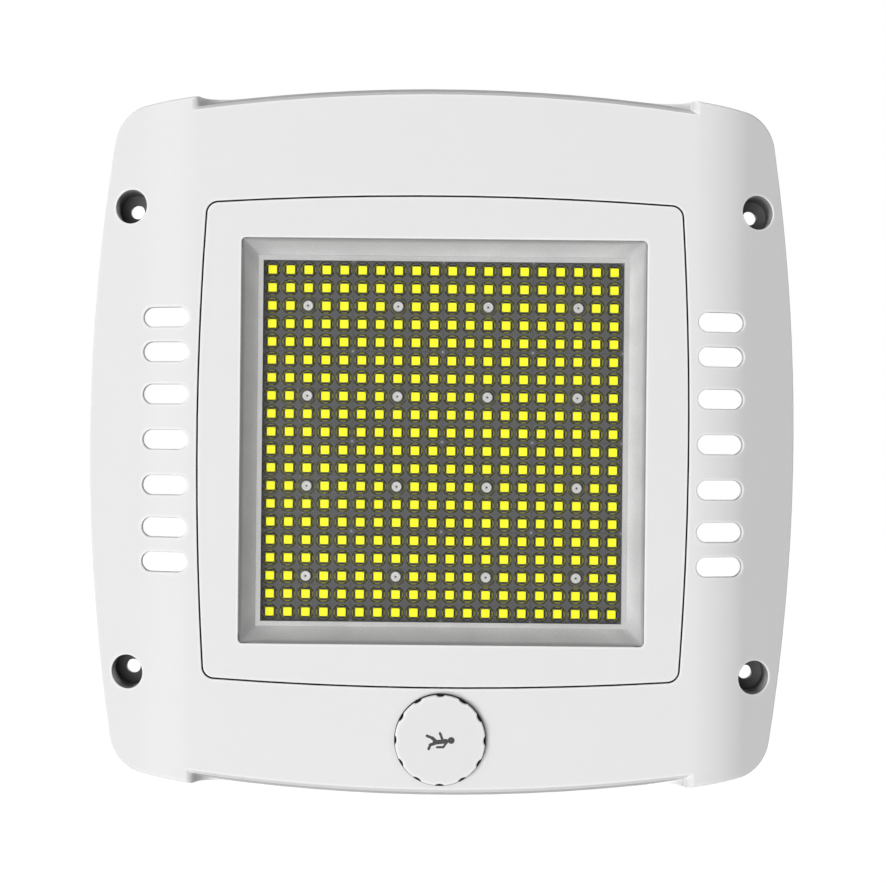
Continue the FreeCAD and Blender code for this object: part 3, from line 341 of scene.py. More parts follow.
paintLook = {  # in metres
    # rim is a painted highlight, seam the painted shade of the parting gap
    "white": (0.80, 0.80, 0.80), "rim": (0.92, 0.92, 0.92), "seam": (0.012, 0.012, 0.012),
    # the well and bore colours are painted shade, darker towards the floor
    "wellMouth": (0.50, 0.50, 0.50), "wellDeep": (0.17, 0.17, 0.17), "wellFloor": (0.13, 0.13, 0.13),
    # slotWall is the slot walls' painted shade
    "bore": (0.012, 0.012, 0.012), "slotWall": (0.40, 0.40, 0.40),
    "face": -0.037, "soft": 0.0002,
    "seamStart": 0.00035, "seamStartSoft": 0.0001, "seamEnd": 0.0055, "openingHalf": 0.1104, "doorEdge": 0.1,
    "wellAt": (0.1405, 0.10425), "wellRadius": 0.00762, "wellSoft": 0.00008,
    "wellBack": -0.0003, "wellFade": 0.006,
    "floorAt": -0.0046, "floorSoft": 0.0003, "boreRadius": 0.0034, "boreSoft": 0.00005,
    "rimWidth": 0.0005, "rimDepth": 0.0008, "windowHalf": 0.09, "windowRound": 0.002, "windowSoft": 0.00015,
    "slotMiddle": 0.135, "slotHalf": 0.018, "slotEnd": 0.095, "slotSoft": 0.001,
    "slotLevel": 0.45, "levelSoft": 0.15,
    "wingKink": 0.1236, "wingFall": 0.6494, "wingNormal": (0.545, -0.839),
}


def gapShadeDepth(tree, depth):  # 1 from just under the face down to the gasket, where the gap's walls get painted shade
    sunk = minus(tree, depth, paintLook["face"])
    start = flip(tree, below(tree, sunk, paintLook["seamStart"], paintLook["seamStartSoft"]))
    return times(tree, start, below(tree, sunk, paintLook["seamEnd"], paintLook["soft"]))


def slotMask(tree, parts, across, up):  # walls of the vent slots, which stand across the wing's face
    inSlots = times(
        tree,
        band(tree, across, paintLook["slotMiddle"], paintLook["slotHalf"], paintLook["slotSoft"]),
        below(tree, up, paintLook["slotEnd"], paintLook["slotSoft"]),
    )
    aside, forward = paintLook["wingNormal"]
    wingFace = addNode(tree, "ShaderNodeCombineXYZ", {
        "X": times(tree, calc(tree, "SIGN", parts["X"]), aside), "Y": forward,
    }).outputs[0]
    plain = addNode(tree, "ShaderNodeNewGeometry").outputs["Normal"]
    level = absolute(tree, vectorMath(tree, "DOT_PRODUCT", plain, wingFace)["Value"])
    return times(tree, inSlots, below(tree, level, paintLook["slotLevel"], paintLook["levelSoft"]))


def housingShade(tree, place, colour):  # painted shade in the wells, on the parting gap's walls and on the slot walls; a painted highlight round the well rims
    soft = paintLook["soft"]
    parts = separate(tree, place)
    across = absolute(tree, parts["X"])
    up = absolute(tree, parts["Z"])
    wing = times(tree, minus(tree, across, paintLook["wingKink"]), paintLook["wingFall"])
    sunk = minus(tree, minus(tree, parts["Y"], paintLook["face"]), wing)
    wellX, wellZ = paintLook["wellAt"]
    radius = length(tree, minus(tree, across, wellX), minus(tree, up, wellZ))
    # painted highlight: a brighter ring round each well's mouth
    rim = times(
        tree,
        below(tree, radius, paintLook["wellRadius"] + paintLook["rimWidth"], soft),
        band(tree, sunk, 0.0, paintLook["rimDepth"], soft),
    )
    # painted shade: the wells are painted darker from the mouth down to the floor, the bore near black
    well = times(
        tree,
        below(tree, radius, paintLook["wellRadius"], paintLook["wellSoft"]),
        below(tree, parts["Y"], paintLook["wellBack"], soft),
    )
    nearMouth = below(tree, sunk, paintLook["wellFade"], paintLook["wellFade"])
    onFloor = below(tree, times(tree, parts["Y"], -1.0), -paintLook["floorAt"], paintLook["floorSoft"])
    inBore = below(tree, radius, paintLook["boreRadius"], paintLook["boreSoft"])
    inside = blendColour(tree, nearMouth, paintLook["wellDeep"], paintLook["wellMouth"])
    inside = blendColour(tree, onFloor, inside, paintLook["wellFloor"])
    inside = blendColour(tree, inBore, inside, paintLook["bore"])
    # painted shade: the walls of the parting gap are painted near black
    inOpening = below(tree, largest(tree, across, up), paintLook["openingHalf"], soft)
    seam = times(tree, inOpening, gapShadeDepth(tree, parts["Y"]))
    # painted shade: the slot walls are painted darker
    colour = blendColour(tree, slotMask(tree, parts, across, up), colour, paintLook["slotWall"])
    colour = blendColour(tree, rim, colour, paintLook["rim"])
    colour = blendColour(tree, well, colour, inside)
    return blendColour(tree, seam, colour, paintLook["seam"])


def doorShade(tree, place, colour):  # painted shade on the outer edges below the face, a painted highlight round the window
    parts = separate(tree, place)
    across = absolute(tree, parts["X"])
    up = absolute(tree, parts["Z"])
    outer = calc(tree, "GREATER_THAN", largest(tree, across, up), paintLook["doorEdge"])
    straight = paintLook["windowHalf"] - paintLook["windowRound"]
    past = [largest(tree, minus(tree, along, straight), 0.0) for along in (across, up)]
    # painted highlight: a brighter ring round the window's edge
    rimReach = paintLook["windowRound"] + paintLook["rimWidth"]
    rim = below(tree, length(tree, *past), rimReach, paintLook["windowSoft"])
    colour = blendColour(tree, rim, colour, paintLook["rim"])
    # painted shade on the door's outer walls in the parting gap
    return blendColour(tree, times(tree, outer, gapShadeDepth(tree, parts["Y"])), colour, paintLook["seam"])


reflectorLook = {  # in metres
    "mouth": (0.63, 0.63, 0.63), "throat": (0.78, 0.78, 0.78), "lip": (0.48, 0.48, 0.475),
    # edge and shade are painted shade, and mouth is painted darker than throat
    "edge": (0.24, 0.24, 0.24), "shade": (0.40, 0.40, 0.40),
    "mouthDepth": -0.0364, "edgeDepth": 0.0001, "edgeSoft": 0.00008, "shadeDepth": 0.0013,
    "lipDepth": -0.026, "lipStep": 0.0002, "lipSoft": 0.0001,
    "cornerReach": 0.006, "cornerShade": 0.5, "softWidth": 0.004, "softEdge": 0.0005, "slope": (0.852, 0.524),
    "grain": {"Variation": 0.3, "Scale": 1400.0, "Roughness": 0.5, "Spread": 0.08, "Tooth": 0.25},
    "specular": 0.3,
}


def cornerNormal(tree, parts, fromCorner):  # the two walls of a corner turn softly into each other
    inward, forward = reflectorLook["slope"]
    upright = below(tree, fromCorner, 0.0, reflectorLook["softWidth"])
    level = flip(tree, upright)
    return addNode(tree, "ShaderNodeCombineXYZ", {
        "X": times(tree, calc(tree, "SIGN", parts["X"]), level, -inward),
        "Y": -forward,
        "Z": times(tree, calc(tree, "SIGN", parts["Z"]), upright, -inward),
    }).outputs[0]


def reflectorMaterial():  # satin grey, with painted shade towards the mouth, on the mouth's edge and in its softly rounded corners
    material, tree, shader, place = newMaterial("reflectorGrey")
    parts = separate(tree, place)
    depth = parts["Y"]
    mouth = reflectorLook["mouthDepth"]
    lip = reflectorLook["lipDepth"]
    # painted shade: darker towards the mouth, in the corners and on the mouth's edge
    fall = below(tree, depth, (mouth + lip) / 2, (lip - mouth) / 2)
    fromCorner = minus(tree, absolute(tree, parts["X"]), absolute(tree, parts["Z"]))
    corner = band(tree, fromCorner, 0.0, reflectorLook["cornerReach"], reflectorLook["cornerReach"])
    nearMouth = below(tree, depth, mouth + reflectorLook["shadeDepth"], reflectorLook["shadeDepth"])
    shade = largest(tree, times(tree, corner, reflectorLook["cornerShade"]), nearMouth)
    onSlope = below(tree, depth, lip - reflectorLook["lipStep"], reflectorLook["lipSoft"])
    onEdge = below(tree, depth, mouth + reflectorLook["edgeDepth"], reflectorLook["edgeSoft"])
    colour = blendColour(tree, fall, reflectorLook["throat"], reflectorLook["mouth"])
    colour = blendColour(tree, shade, colour, reflectorLook["shade"])
    colour = blendColour(tree, onSlope, reflectorLook["lip"], colour)
    colour = blendColour(tree, onEdge, colour, reflectorLook["edge"])
    surface = useSurface(tree, shader, fineGrain, place, colour, reflectorLook["grain"])
    inCorner = band(tree, fromCorner, 0.0, reflectorLook["softWidth"], reflectorLook["softEdge"])
    rounded = cornerNormal(tree, parts, fromCorner)
    normals = {0: times(tree, inCorner, onSlope), 4: surface["Normal"], 5: rounded}  # 4 and 5: the vectors
    blend = addNode(tree, "ShaderNodeMix", normals, data_type="VECTOR").outputs[1]
    feed(tree, shader.inputs["Normal"], vectorMath(tree, "NORMALIZE", blend)[0])
    shader.inputs["Specular IOR Level"].default_value = reflectorLook["specular"]
    return material


boardLook = {  # in millimetres
    "mask": (0.106, 0.106, 0.106), "gap": (0.28, 0.28, 0.28), "collar": (0.055, 0.055, 0.009),
    # glow and cast are painted yellow light from the chips
    "pad": (0.012, 0.012, 0.051), "glow": (0.212, 0.212, 0.024), "cast": (0.172, 0.172, 0.016),
    "trace": (0.078, 0.078, 0.133), "seam": (0.088, 0.088, 0.088),
    "padAt": 2.5, "padHalf": 0.26, "padSoft": 0.08, "padLength": 1.75, "padEndSoft": 0.15,
    "traceHalf": 0.3, "traceSoft": 0.15, "traceLength": 0.8, "traceEndSoft": 0.3,
    "glowAt": 3.32, "glowHalf": 0.42, "glowSoft": 0.1, "glowSpread": 0.4, "spreadSoft": 0.08,
    "lastGlow": 79.6, "lastSoft": 0.3, "castAt": 3.0, "castHalf": 0.55, "castSoft": 0.15,
    "collarAt": 2.8, "collarHalf": 0.22, "collarSoft": 0.08, "seamHalf": 0.3, "seamSoft": 0.15,
    "grain": {"Variation": 0.05, "Scale": 1600.0, "Roughness": 0.6, "Spread": 0.1, "Tooth": 0.05},
    "specular": 0.03,
}


def namedBand(tree, value, look, name):  # a band whose place, half width and softness the look gives
    return band(tree, value, look[name + "At"], look[name + "Half"], look[name + "Soft"])


def boardMaterial():  # grey solder mask, with dark pads beside each chip and the painted yellow light of each chip round its pocket
    material, tree, shader, place = newMaterial("boardMask")
    cell = useGroup(tree, fieldCell, {"Vector": place})
    lensPlace = cell["LensPlace"]
    parts = separate(tree, place)
    outward = largest(tree, absolute(tree, parts["X"]), absolute(tree, parts["Z"]))
    pads = []
    traces = []
    for along, over in ((cell["Across"], cell["Up"]), (cell["Up"], cell["Across"])):
        padEnd = below(tree, over, boardLook["padLength"], boardLook["padEndSoft"])
        pads.append(times(tree, namedBand(tree, along, boardLook, "pad"), padEnd))
        strip = band(tree, along, field["pitch"] / 2, boardLook["traceHalf"], boardLook["traceSoft"])
        traceEnd = below(tree, over, boardLook["traceLength"], boardLook["traceEndSoft"])
        traces.append(times(tree, strip, traceEnd))
    pad = times(tree, largest(tree, *pads), lensPlace)
    # painted yellow light of each chip on the board round its pocket
    onSide = below(tree, cell["Turn"], boardLook["glowSpread"], boardLook["spreadSoft"])
    inField = below(tree, outward, boardLook["lastGlow"] * millimetre, boardLook["lastSoft"] * millimetre)
    glow = times(tree, namedBand(tree, cell["Radius"], boardLook, "glow"), onSide, inField, lensPlace)
    cast = times(tree, namedBand(tree, cell["Radius"], boardLook, "cast"), flip(tree, onSide), lensPlace)
    collar = times(tree, namedBand(tree, cell["Radius"], boardLook, "collar"), flip(tree, lensPlace))
    seam = below(tree, cell["FromSeam"], boardLook["seamHalf"], boardLook["seamSoft"])
    colour = blendColour(tree, seam, boardLook["mask"], boardLook["seam"])
    colour = blendColour(tree, cell["CornerGap"], colour, boardLook["gap"])
    colour = blendColour(tree, largest(tree, *traces), colour, boardLook["trace"])
    colour = blendColour(tree, collar, colour, boardLook["collar"])
    colour = blendColour(tree, cast, colour, boardLook["cast"])
    colour = blendColour(tree, glow, colour, boardLook["glow"])
    colour = blendColour(tree, pad, colour, boardLook["pad"])
    useSurface(tree, shader, fineGrain, place, colour, boardLook["grain"])
    shader.inputs["Specular IOR Level"].default_value = boardLook["specular"]
    return material


lensLook = {  # rings in millimetres, front in metres
    # ring and seat are painted dark rings standing in for refraction, seatSide painted yellow light
    "tint": (0.12, 0.12, 0.12), "ring": (0.004, 0.004, 0.001), "seat": (0.04, 0.04, 0.004),
    "seatSide": (0.17, 0.17, 0.015), "clear": 0.01, "mark": 0.92, "gloss": 0.3, "glossIndex": 1.2,
    "ringAt": 3.56, "ringHalf": 0.25, "ringSoft": 0.07, "sideFade": 0.45, "sideSpread": 0.3, "sideSoft": 0.12,
    "seatAt": 3.86, "seatHalf": 0.32, "seatSoft": 0.06, "front": -0.0176, "frontSoft": 0.0002,
    "roughness": 0.12, "specular": 0.05,
}


def lensMaterial():  # clear moulding; painted dark rings stand in for refraction where each dome meets its plate and round the screw seats, with painted yellow light on the seat rings' sides
    material, tree, shader, place = newMaterial("clearLens")
    cell = useGroup(tree, fieldCell, {"Vector": place})
    onSide = below(tree, cell["Turn"], lensLook["sideSpread"], lensLook["sideSoft"])
    faded = flip(tree, times(tree, onSide, lensLook["sideFade"]))
    # painted dark rings where the domes meet the plate and round the seats, standing in for refraction
    ring = times(tree, namedBand(tree, cell["Radius"], lensLook, "ring"), faded, cell["LensPlace"])
    seat = times(tree, namedBand(tree, cell["Radius"], lensLook, "seat"), flip(tree, cell["LensPlace"]))
    colour = blendColour(tree, ring, lensLook["tint"], lensLook["ring"])
    seatColour = blendColour(tree, onSide, lensLook["seat"], lensLook["seatSide"])
    feed(tree, shader.inputs["Base Color"], blendColour(tree, seat, colour, seatColour))
    onFront = below(tree, separate(tree, place)["Y"], lensLook["front"], lensLook["frontSoft"])
    marks = times(tree, largest(tree, ring, seat), onFront, lensLook["mark"])
    fresnel = addNode(tree, "ShaderNodeFresnel", {"IOR": lensLook["glossIndex"]}).outputs[0]
    cover = plus(tree, plus(tree, marks, lensLook["clear"]), times(tree, fresnel, lensLook["gloss"]))
    feed(tree, shader.inputs["Alpha"], calc(tree, "MINIMUM", cover, 1.0))
    shader.inputs["Roughness"].default_value = lensLook["roughness"]
    shader.inputs["Specular IOR Level"].default_value = lensLook["specular"]
    return material


paneLook = {
    "dark": (0.55, 0.60, 0.58), "pale": (0.65, 0.70, 0.68), "haze": 0.006, "hazeScale": 60.0,
    "glossIndex": 1.15, "roughness": 0.04,
}


def glassMaterial():  # tempered pane, hardly seen from the front
    material, tree, shader, place = newMaterial("clearPane")
    haze = noise(tree, place, paneLook["hazeScale"], detail=2.0)
    gloss = addNode(tree, "ShaderNodeFresnel", {"IOR": paneLook["glossIndex"]}).outputs[0]
    cover = plus(tree, times(tree, haze, paneLook["haze"]), gloss)
    feed(tree, shader.inputs["Alpha"], calc(tree, "MINIMUM", cover, 1.0))
    feed(tree, shader.inputs["Base Color"], blendColour(tree, haze, paneLook["dark"], paneLook["pale"]))
    shader.inputs["Roughness"].default_value = paneLook["roughness"]
    return material


phosphorLook = {  # in millimetres
    "lit": (0.98, 0.97, 0.016), "rim": (0.24, 0.22, 0.008),
    "rimAt": 1.86, "rimSoft": 0.06, "cornerAt": 2.42, "cornerSoft": 0.08,
    "grain": {"Variation": 0.06, "Scale": 2200.0, "Roughness": 0.55, "Spread": 0.1, "Tooth": 0.08},
    "emission": 0.22, "specular": 0.15,
}


def phosphorMaterial():  # yellow emitter in a dull rim, a little self-lit to stay clean behind the pane
    material, tree, shader, place = newMaterial("phosphor")
    cell = useGroup(tree, fieldCell, {"Vector": place})
    outward = largest(tree, cell["Across"], cell["Up"])
    lit = times(
        tree,
        below(tree, outward, phosphorLook["rimAt"], phosphorLook["rimSoft"]),
        below(tree, cell["Radius"], phosphorLook["cornerAt"], phosphorLook["cornerSoft"]),
    )
    colour = blendColour(tree, lit, phosphorLook["rim"], phosphorLook["lit"])
    surface = useSurface(tree, shader, fineGrain, place, colour, phosphorLook["grain"])
    feed(tree, shader.inputs["Emission Color"], surface["Colour"])
    shader.inputs["Emission Strength"].default_value = phosphorLook["emission"]
    shader.inputs["Specular IOR Level"].default_value = phosphorLook["specular"]
    return material


screwLook = {  # in millimetres
    "head": (0.53, 0.53, 0.52), "edge": (0.30, 0.30, 0.29), "edgeRadius": 2.15, "edgeSoft": 0.1,
    "socket": (0.08, 0.08, 0.08), "socketRadius": 0.5, "socketSoft": 0.08,
    "groove": (0.34, 0.34, 0.33), "grooveAt": 1.3, "grooveHalf": 0.12, "grooveSoft": 0.08,
    "streak": {
        "Stretch": (1500.0, 300.0, 1500.0), "Variation": 0.15,
        "Roughness": 0.5, "Spread": 0.15, "Tooth": 0.06,
    },
    "metallic": 0.25, "specular": 0.2,
}


def lensScrewMaterial():  # bright pan head with painted shade in its socket, a turned groove and a darker outer rim
    material, tree, shader, place = newMaterial("lensScrewZinc")
    radius = useGroup(tree, fieldCell, {"Vector": place})["Radius"]
    onHead = below(tree, radius, screwLook["edgeRadius"], screwLook["edgeSoft"])
    inSocket = below(tree, radius, screwLook["socketRadius"], screwLook["socketSoft"])
    colour = blendColour(tree, onHead, screwLook["edge"], screwLook["head"])
    colour = blendColour(tree, namedBand(tree, radius, screwLook, "groove"), colour, screwLook["groove"])
    # painted shade: the socket is painted near black
    colour = blendColour(tree, inSocket, colour, screwLook["socket"])
    useSurface(tree, shader, metalStreak, place, colour, screwLook["streak"])
    shader.inputs["Metallic"].default_value = screwLook["metallic"]
    shader.inputs["Specular IOR Level"].default_value = screwLook["specular"]
    return material


# paint and plastic edges get a painted highlight, brighter than the paint; metal, nylon and rubber edges get
# wear
paintEdgeHighlight = {"radius": 0.0018, "amount": 2.5, "colour": (0.95, 0.95, 0.95)}
metalWear = {"radius": 0.0010, "amount": 0.8, "colour": (0.86, 0.86, 0.85), "smoother": 0.1}
darkWear = {"radius": 0.0012, "amount": 0.6, "colour": (0.20, 0.20, 0.20)}
rubberWear = {"radius": 0.0008, "amount": 0.5, "colour": (0.03, 0.03, 0.03)}

whitePaint = {
    "base": paintLook["white"], "specular": 0.2, "wearAndHighlight": paintEdgeHighlight,
    "grain": {"Variation": 0.02, "Scale": 900.0, "Roughness": 0.6, "Spread": 0.08, "Tooth": 0.05},
}
whitePlastic = {
    "base": (0.778, 0.778, 0.778), "specular": 0.25, "wearAndHighlight": paintEdgeHighlight,
    "grain": {"Variation": 0.015, "Scale": 1500.0, "Roughness": 0.55, "Spread": 0.06, "Tooth": 0.04},
}
blackRubber = {
    "base": (0.010, 0.010, 0.010), "specular": 0.1, "wearAndHighlight": rubberWear,
    "grain": {"Variation": 0.3, "Scale": 1800.0, "Roughness": 0.75, "Spread": 0.15, "Tooth": 0.3},
}
greyPad = {
    "base": (0.33, 0.35, 0.38), "specular": 0.5, "wearAndHighlight": None,
    "grain": {"Variation": 0.2, "Scale": 1200.0, "Roughness": 0.8, "Spread": 0.1, "Tooth": 0.3},
}
greyNylon = {
    "base": (0.12, 0.125, 0.13), "specular": 0.5, "wearAndHighlight": darkWear,
    "grain": {"Variation": 0.2, "Scale": 1500.0, "Roughness": 0.55, "Spread": 0.12, "Tooth": 0.2},
}
socketPlastic = {
    "base": (0.68, 0.68, 0.67), "specular": 0.5, "wearAndHighlight": paintEdgeHighlight,
    "grain": {"Variation": 0.05, "Scale": 1400.0, "Roughness": 0.5, "Spread": 0.1, "Tooth": 0.1},
}
greenBoard = {
    "base": (0.02, 0.16, 0.06), "specular": 0.5, "wearAndHighlight": None,
    "grain": {"Variation": 0.3, "Scale": 700.0, "Roughness": 0.35, "Spread": 0.1, "Tooth": 0.1},
}
castAluminium = {
    "base": (0.62, 0.63, 0.64), "wearAndHighlight": metalWear,
    "streak": {
        "Stretch": (900.0, 900.0, 120.0), "Variation": 0.25,
        "Roughness": 0.42, "Spread": 0.2, "Tooth": 0.15,
    },
}
platedSteel = {
    "base": (0.66, 0.66, 0.64), "wearAndHighlight": metalWear,
    "streak": {
        "Stretch": (1500.0, 300.0, 1500.0), "Variation": 0.2,
        "Roughness": 0.3, "Spread": 0.2, "Tooth": 0.08,
    },
}
tinnedCan = {
    "base": (0.68, 0.68, 0.66), "wearAndHighlight": metalWear,
    "streak": {
        "Stretch": (300.0, 1500.0, 1500.0), "Variation": 0.2,
        "Roughness": 0.28, "Spread": 0.2, "Tooth": 0.08,
    },
}
finishes = {
    "white_paint": grainMaterial("whitePaint", whitePaint),
    "white_plastic": grainMaterial("whitePlastic", whitePlastic),
    "black_rubber": grainMaterial("blackRubber", blackRubber),
    "grey_pad": grainMaterial("greyPad", greyPad),
    "grey_nylon": grainMaterial("greyNylon", greyNylon),
    "socket_plastic": grainMaterial("socketPlastic", socketPlastic),
    "green_board": grainMaterial("greenBoard", greenBoard),
    "bare_aluminium": streakMaterial("castAluminium", castAluminium),
    "steel": streakMaterial("platedSteel", platedSteel),
    "tin_can": streakMaterial("tinnedCan", tinnedCan),
    "reflector": reflectorMaterial(),
    "led_board": boardMaterial(),
    "clear_lens": lensMaterial(),
    "clear_glass": glassMaterial(),
    "led_phosphor": phosphorMaterial(),
}
ownFinish = {
    "front_housing": grainMaterial("housingPaint", whitePaint, housingShade),
    "door_frame": grainMaterial("doorPaint", whitePaint, doorShade),
    "lens_screws": lensScrewMaterial(),
}
for name, node in cadNodes.items():
    finish = ownFinish.get(name, finishes[slotOfNode[name]])
    for index in range(len(node.data.materials)):
        node.data.materials[index] = finish
    if slotOfNode[name] in ("clear_lens", "clear_glass"):  # clear pieces throw no shadow
        node.visible_shadow = False
        node.visible_diffuse = False
cadNodes["reflector_frame"].visible_shadow = False  # light reaches the outermost chips
print("finishes given to every node")


# pieces of the scene, shaped in millimetres

def finishPiece(name, mesh, body, material, replaced=()):
    bmesh.ops.scale(mesh, verts=mesh.verts, vec=(millimetre,) * 3)
    bmesh.ops.recalc_face_normals(mesh, faces=mesh.faces)
    data = bpy.data.meshes.new(name)
    mesh.to_mesh(data)
    mesh.free()
    data.materials.append(material)
    piece = bpy.data.objects.new(name, data)
    bpy.context.collection.objects.link(piece)
    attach(piece, body)
    if replaced:
        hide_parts(*replaced)
    return piece


def vertsOf(geometry):
    return [item for item in geometry if isinstance(item, bmesh.types.BMVert)]


def copyTo(mesh, pattern, spot):
    copy = bmesh.ops.duplicate(mesh, geom=pattern)
    bmesh.ops.translate(mesh, verts=vertsOf(copy["geom"]), vec=spot)


def everything(mesh):
    return list(mesh.verts) + list(mesh.edges) + list(mesh.faces)


def runsBack(edge):  # true for an edge along Y
    across, depth, up = (abs(step) for step in edge.verts[0].co - edge.verts[1].co)
    return depth > max(across, up)


chip = {"side": 4.0, "height": 0.8, "corner": 0.7, "bevel": 0.12, "rim": 0.3, "sink": 0.1, "back": -16.5}


def ledEmitters():  # one chip is shaped, then copied to every lens place
    mesh = bmesh.new()
    bmesh.ops.create_cube(mesh, size=1.0)
    bmesh.ops.scale(mesh, verts=mesh.verts, vec=(chip["side"], chip["height"], chip["side"]))
    corners = [edge for edge in mesh.edges if runsBack(edge)]
    bmesh.ops.bevel(
        mesh, geom=corners, offset=chip["corner"], offset_type="OFFSET",
        affect="EDGES", segments=2, profile=0.5, material=-1,
    )
    front = min(mesh.faces, key=lambda face: face.calc_center_median().y)
    bmesh.ops.bevel(
        mesh, geom=list(front.edges), offset=chip["bevel"], offset_type="OFFSET",
        affect="EDGES", segments=1, profile=0.5, material=-1,
    )
    front = min(mesh.faces, key=lambda face: face.calc_center_median().y)
    bmesh.ops.inset_region(mesh, faces=[front], thickness=chip["rim"], depth=-chip["sink"])
    bmesh.ops.translate(mesh, verts=mesh.verts, vec=(0.0, chip["back"] - chip["height"] / 2, 0.0))
    pattern = everything(mesh)
    side = field["moduleSide"]
    count = side * field["modulesAcross"]
    for column in range(count):
        for row in range(count):
            if column % side == side // 2 and row % side == side // 2:  # a lens screw sits here
                continue
            across, up = ((step - (count - 1) / 2) * field["pitch"] for step in (column, row))
            copyTo(mesh, pattern, (across, 0.0, up))
    bmesh.ops.delete(mesh, geom=vertsOf(pattern), context="VERTS")
    emitters = finishPiece(
        "led_emitters", mesh, "housing", finishes["led_phosphor"], ["led_chips"],
    )
    emitters.visible_diffuse = False  # no yellow cast on the reflector


film = {"thickness": 0.03, "hole": 1.75, "steps": 24, "weld": 0.01}


def solderMask():  # thin film on the board, so that the clear plates share no face with the board
    mesh = bmesh.new()
    bmesh.ops.create_circle(mesh, segments=film["steps"], radius=film["hole"])
    border = bmesh.ops.create_circle(mesh, segments=film["steps"], radius=1.0)
    for vert in border["verts"]:  # out to the sides of a square
        vert.co *= moduleSpan / 2 / max(abs(vert.co.x), abs(vert.co.y))
    bmesh.ops.bridge_loops(mesh, edges=list(mesh.edges))
    bmesh.ops.rotate(mesh, verts=mesh.verts, matrix=Matrix.Rotation(math.radians(90), 3, "X"))
    pattern = everything(mesh)
    count = field["modulesAcross"]
    for place in range(1, count * count):
        copyTo(mesh, pattern, (place % count * moduleSpan, 0.0, place // count * moduleSpan))
    bmesh.ops.remove_doubles(mesh, verts=mesh.verts, dist=film["weld"])
    raised = bmesh.ops.extrude_face_region(mesh, geom=list(mesh.faces))
    bmesh.ops.translate(mesh, verts=vertsOf(raised["geom"]), vec=(0.0, -film["thickness"], 0.0))
    corner = -(count - 1) / 2 * moduleSpan
    bmesh.ops.translate(mesh, verts=mesh.verts, vec=(corner, chip["back"], corner))
    finishPiece("solder_mask", mesh, "housing", finishes["led_board"])


ledEmitters()
solderMask()
print("chips and solder mask placed")

# a plain walking figure lying across the cap, from the cap's middle
figure = {
    "front": -41.2, "rise": 0.12, "step": 0.04, "centre": (-0.2, -131.65),
    "head": (5.1, 0.1), "headRadius": 1.5, "endRound": 0.499,
    "limbs": [
        ((2.9, -0.25), (-2.2, -0.85), 1.95),
        ((2.3, 0.15), (3.0, -0.8), 1.3),
        ((1.3, 0.3), (0.1, 3.25), 1.1),
        ((3.0, -0.9), (1.6, -2.9), 1.0),
        ((1.6, -2.9), (-1.1, -2.95), 1.0),
        ((-1.6, -0.3), (-3.3, 1.1), 1.45),
        ((-3.3, 1.1), (-5.6, 2.05), 1.2),
        ((-1.9, -1.2), (-4.1, -1.9), 1.35),
        ((-4.1, -1.9), (-4.8, -3.7), 1.2),
    ],
}
figureInk = {
    "base": (0.07, 0.07, 0.07), "specular": 0.15, "wearAndHighlight": None,
    "grain": {"Variation": 0.15, "Scale": 2000.0, "Roughness": 0.6, "Spread": 0.1, "Tooth": 0.1},
}


def addLimb(mesh, start, end, width, depth):  # a flat bar with round ends
    run = Vector((end[0] - start[0], 0.0, end[1] - start[1]))
    limb = bmesh.ops.create_cube(mesh, size=1.0)
    bmesh.ops.scale(mesh, verts=limb["verts"], vec=(run.length + width, depth, width))
    corners = {edge for vert in limb["verts"] for edge in vert.link_edges if runsBack(edge)}
    rounded = bmesh.ops.bevel(
        mesh, geom=list(corners), offset=width * figure["endRound"], offset_type="OFFSET",
        affect="EDGES", segments=6, profile=0.5, material=-1,
    )
    verts = list({vert for face in rounded["faces"] for vert in face.verts})
    bmesh.ops.rotate(mesh, verts=verts, matrix=Matrix.Rotation(-math.atan2(run.z, run.x), 3, "Y"))
    middle = ((start[0] + end[0]) / 2, -depth / 2, (start[1] + end[1]) / 2)
    bmesh.ops.translate(mesh, verts=verts, vec=middle)


def walkingFigure():
    mesh = bmesh.new()
    rise = figure["rise"]
    radius = figure["headRadius"]
    head = bmesh.ops.create_cone(mesh, cap_ends=True, segments=32, radius1=radius, radius2=radius, depth=rise)
    bmesh.ops.rotate(mesh, verts=head["verts"], matrix=Matrix.Rotation(math.radians(90), 3, "X"))
    bmesh.ops.translate(mesh, verts=head["verts"], vec=(figure["head"][0], -rise / 2, figure["head"][1]))
    for number, (start, end, width) in enumerate(figure["limbs"]):
        addLimb(mesh, start, end, width, rise * (1.0 - figure["step"] * number))  # crossing limbs keep apart
    spot = (figure["centre"][0], figure["front"], figure["centre"][1])
    bmesh.ops.translate(mesh, verts=mesh.verts, vec=spot)
    finishPiece("walking_figure", mesh, "cap", grainMaterial("figureInk", figureInk))


walkingFigure()
print("figure printed on the cap")


# floor, light and camera

pureWhite = (1.0, 1.0, 1.0, 1.0)


def seenDirectly(tree):  # 1 for the camera, for reflections and for what is seen through glass
    path = addNode(tree, "ShaderNodeLightPath").outputs
    return largest(tree, path["Is Camera Ray"], path["Is Glossy Ray"], path["Is Transmission Ray"])


stage = {
    "floorAt": -0.42, "floorSize": 14.0, "floorColour": (0.92, 0.92, 0.92), "seenGlow": 0.845,
    "roughness": 0.8, "specular": 0.1,
}


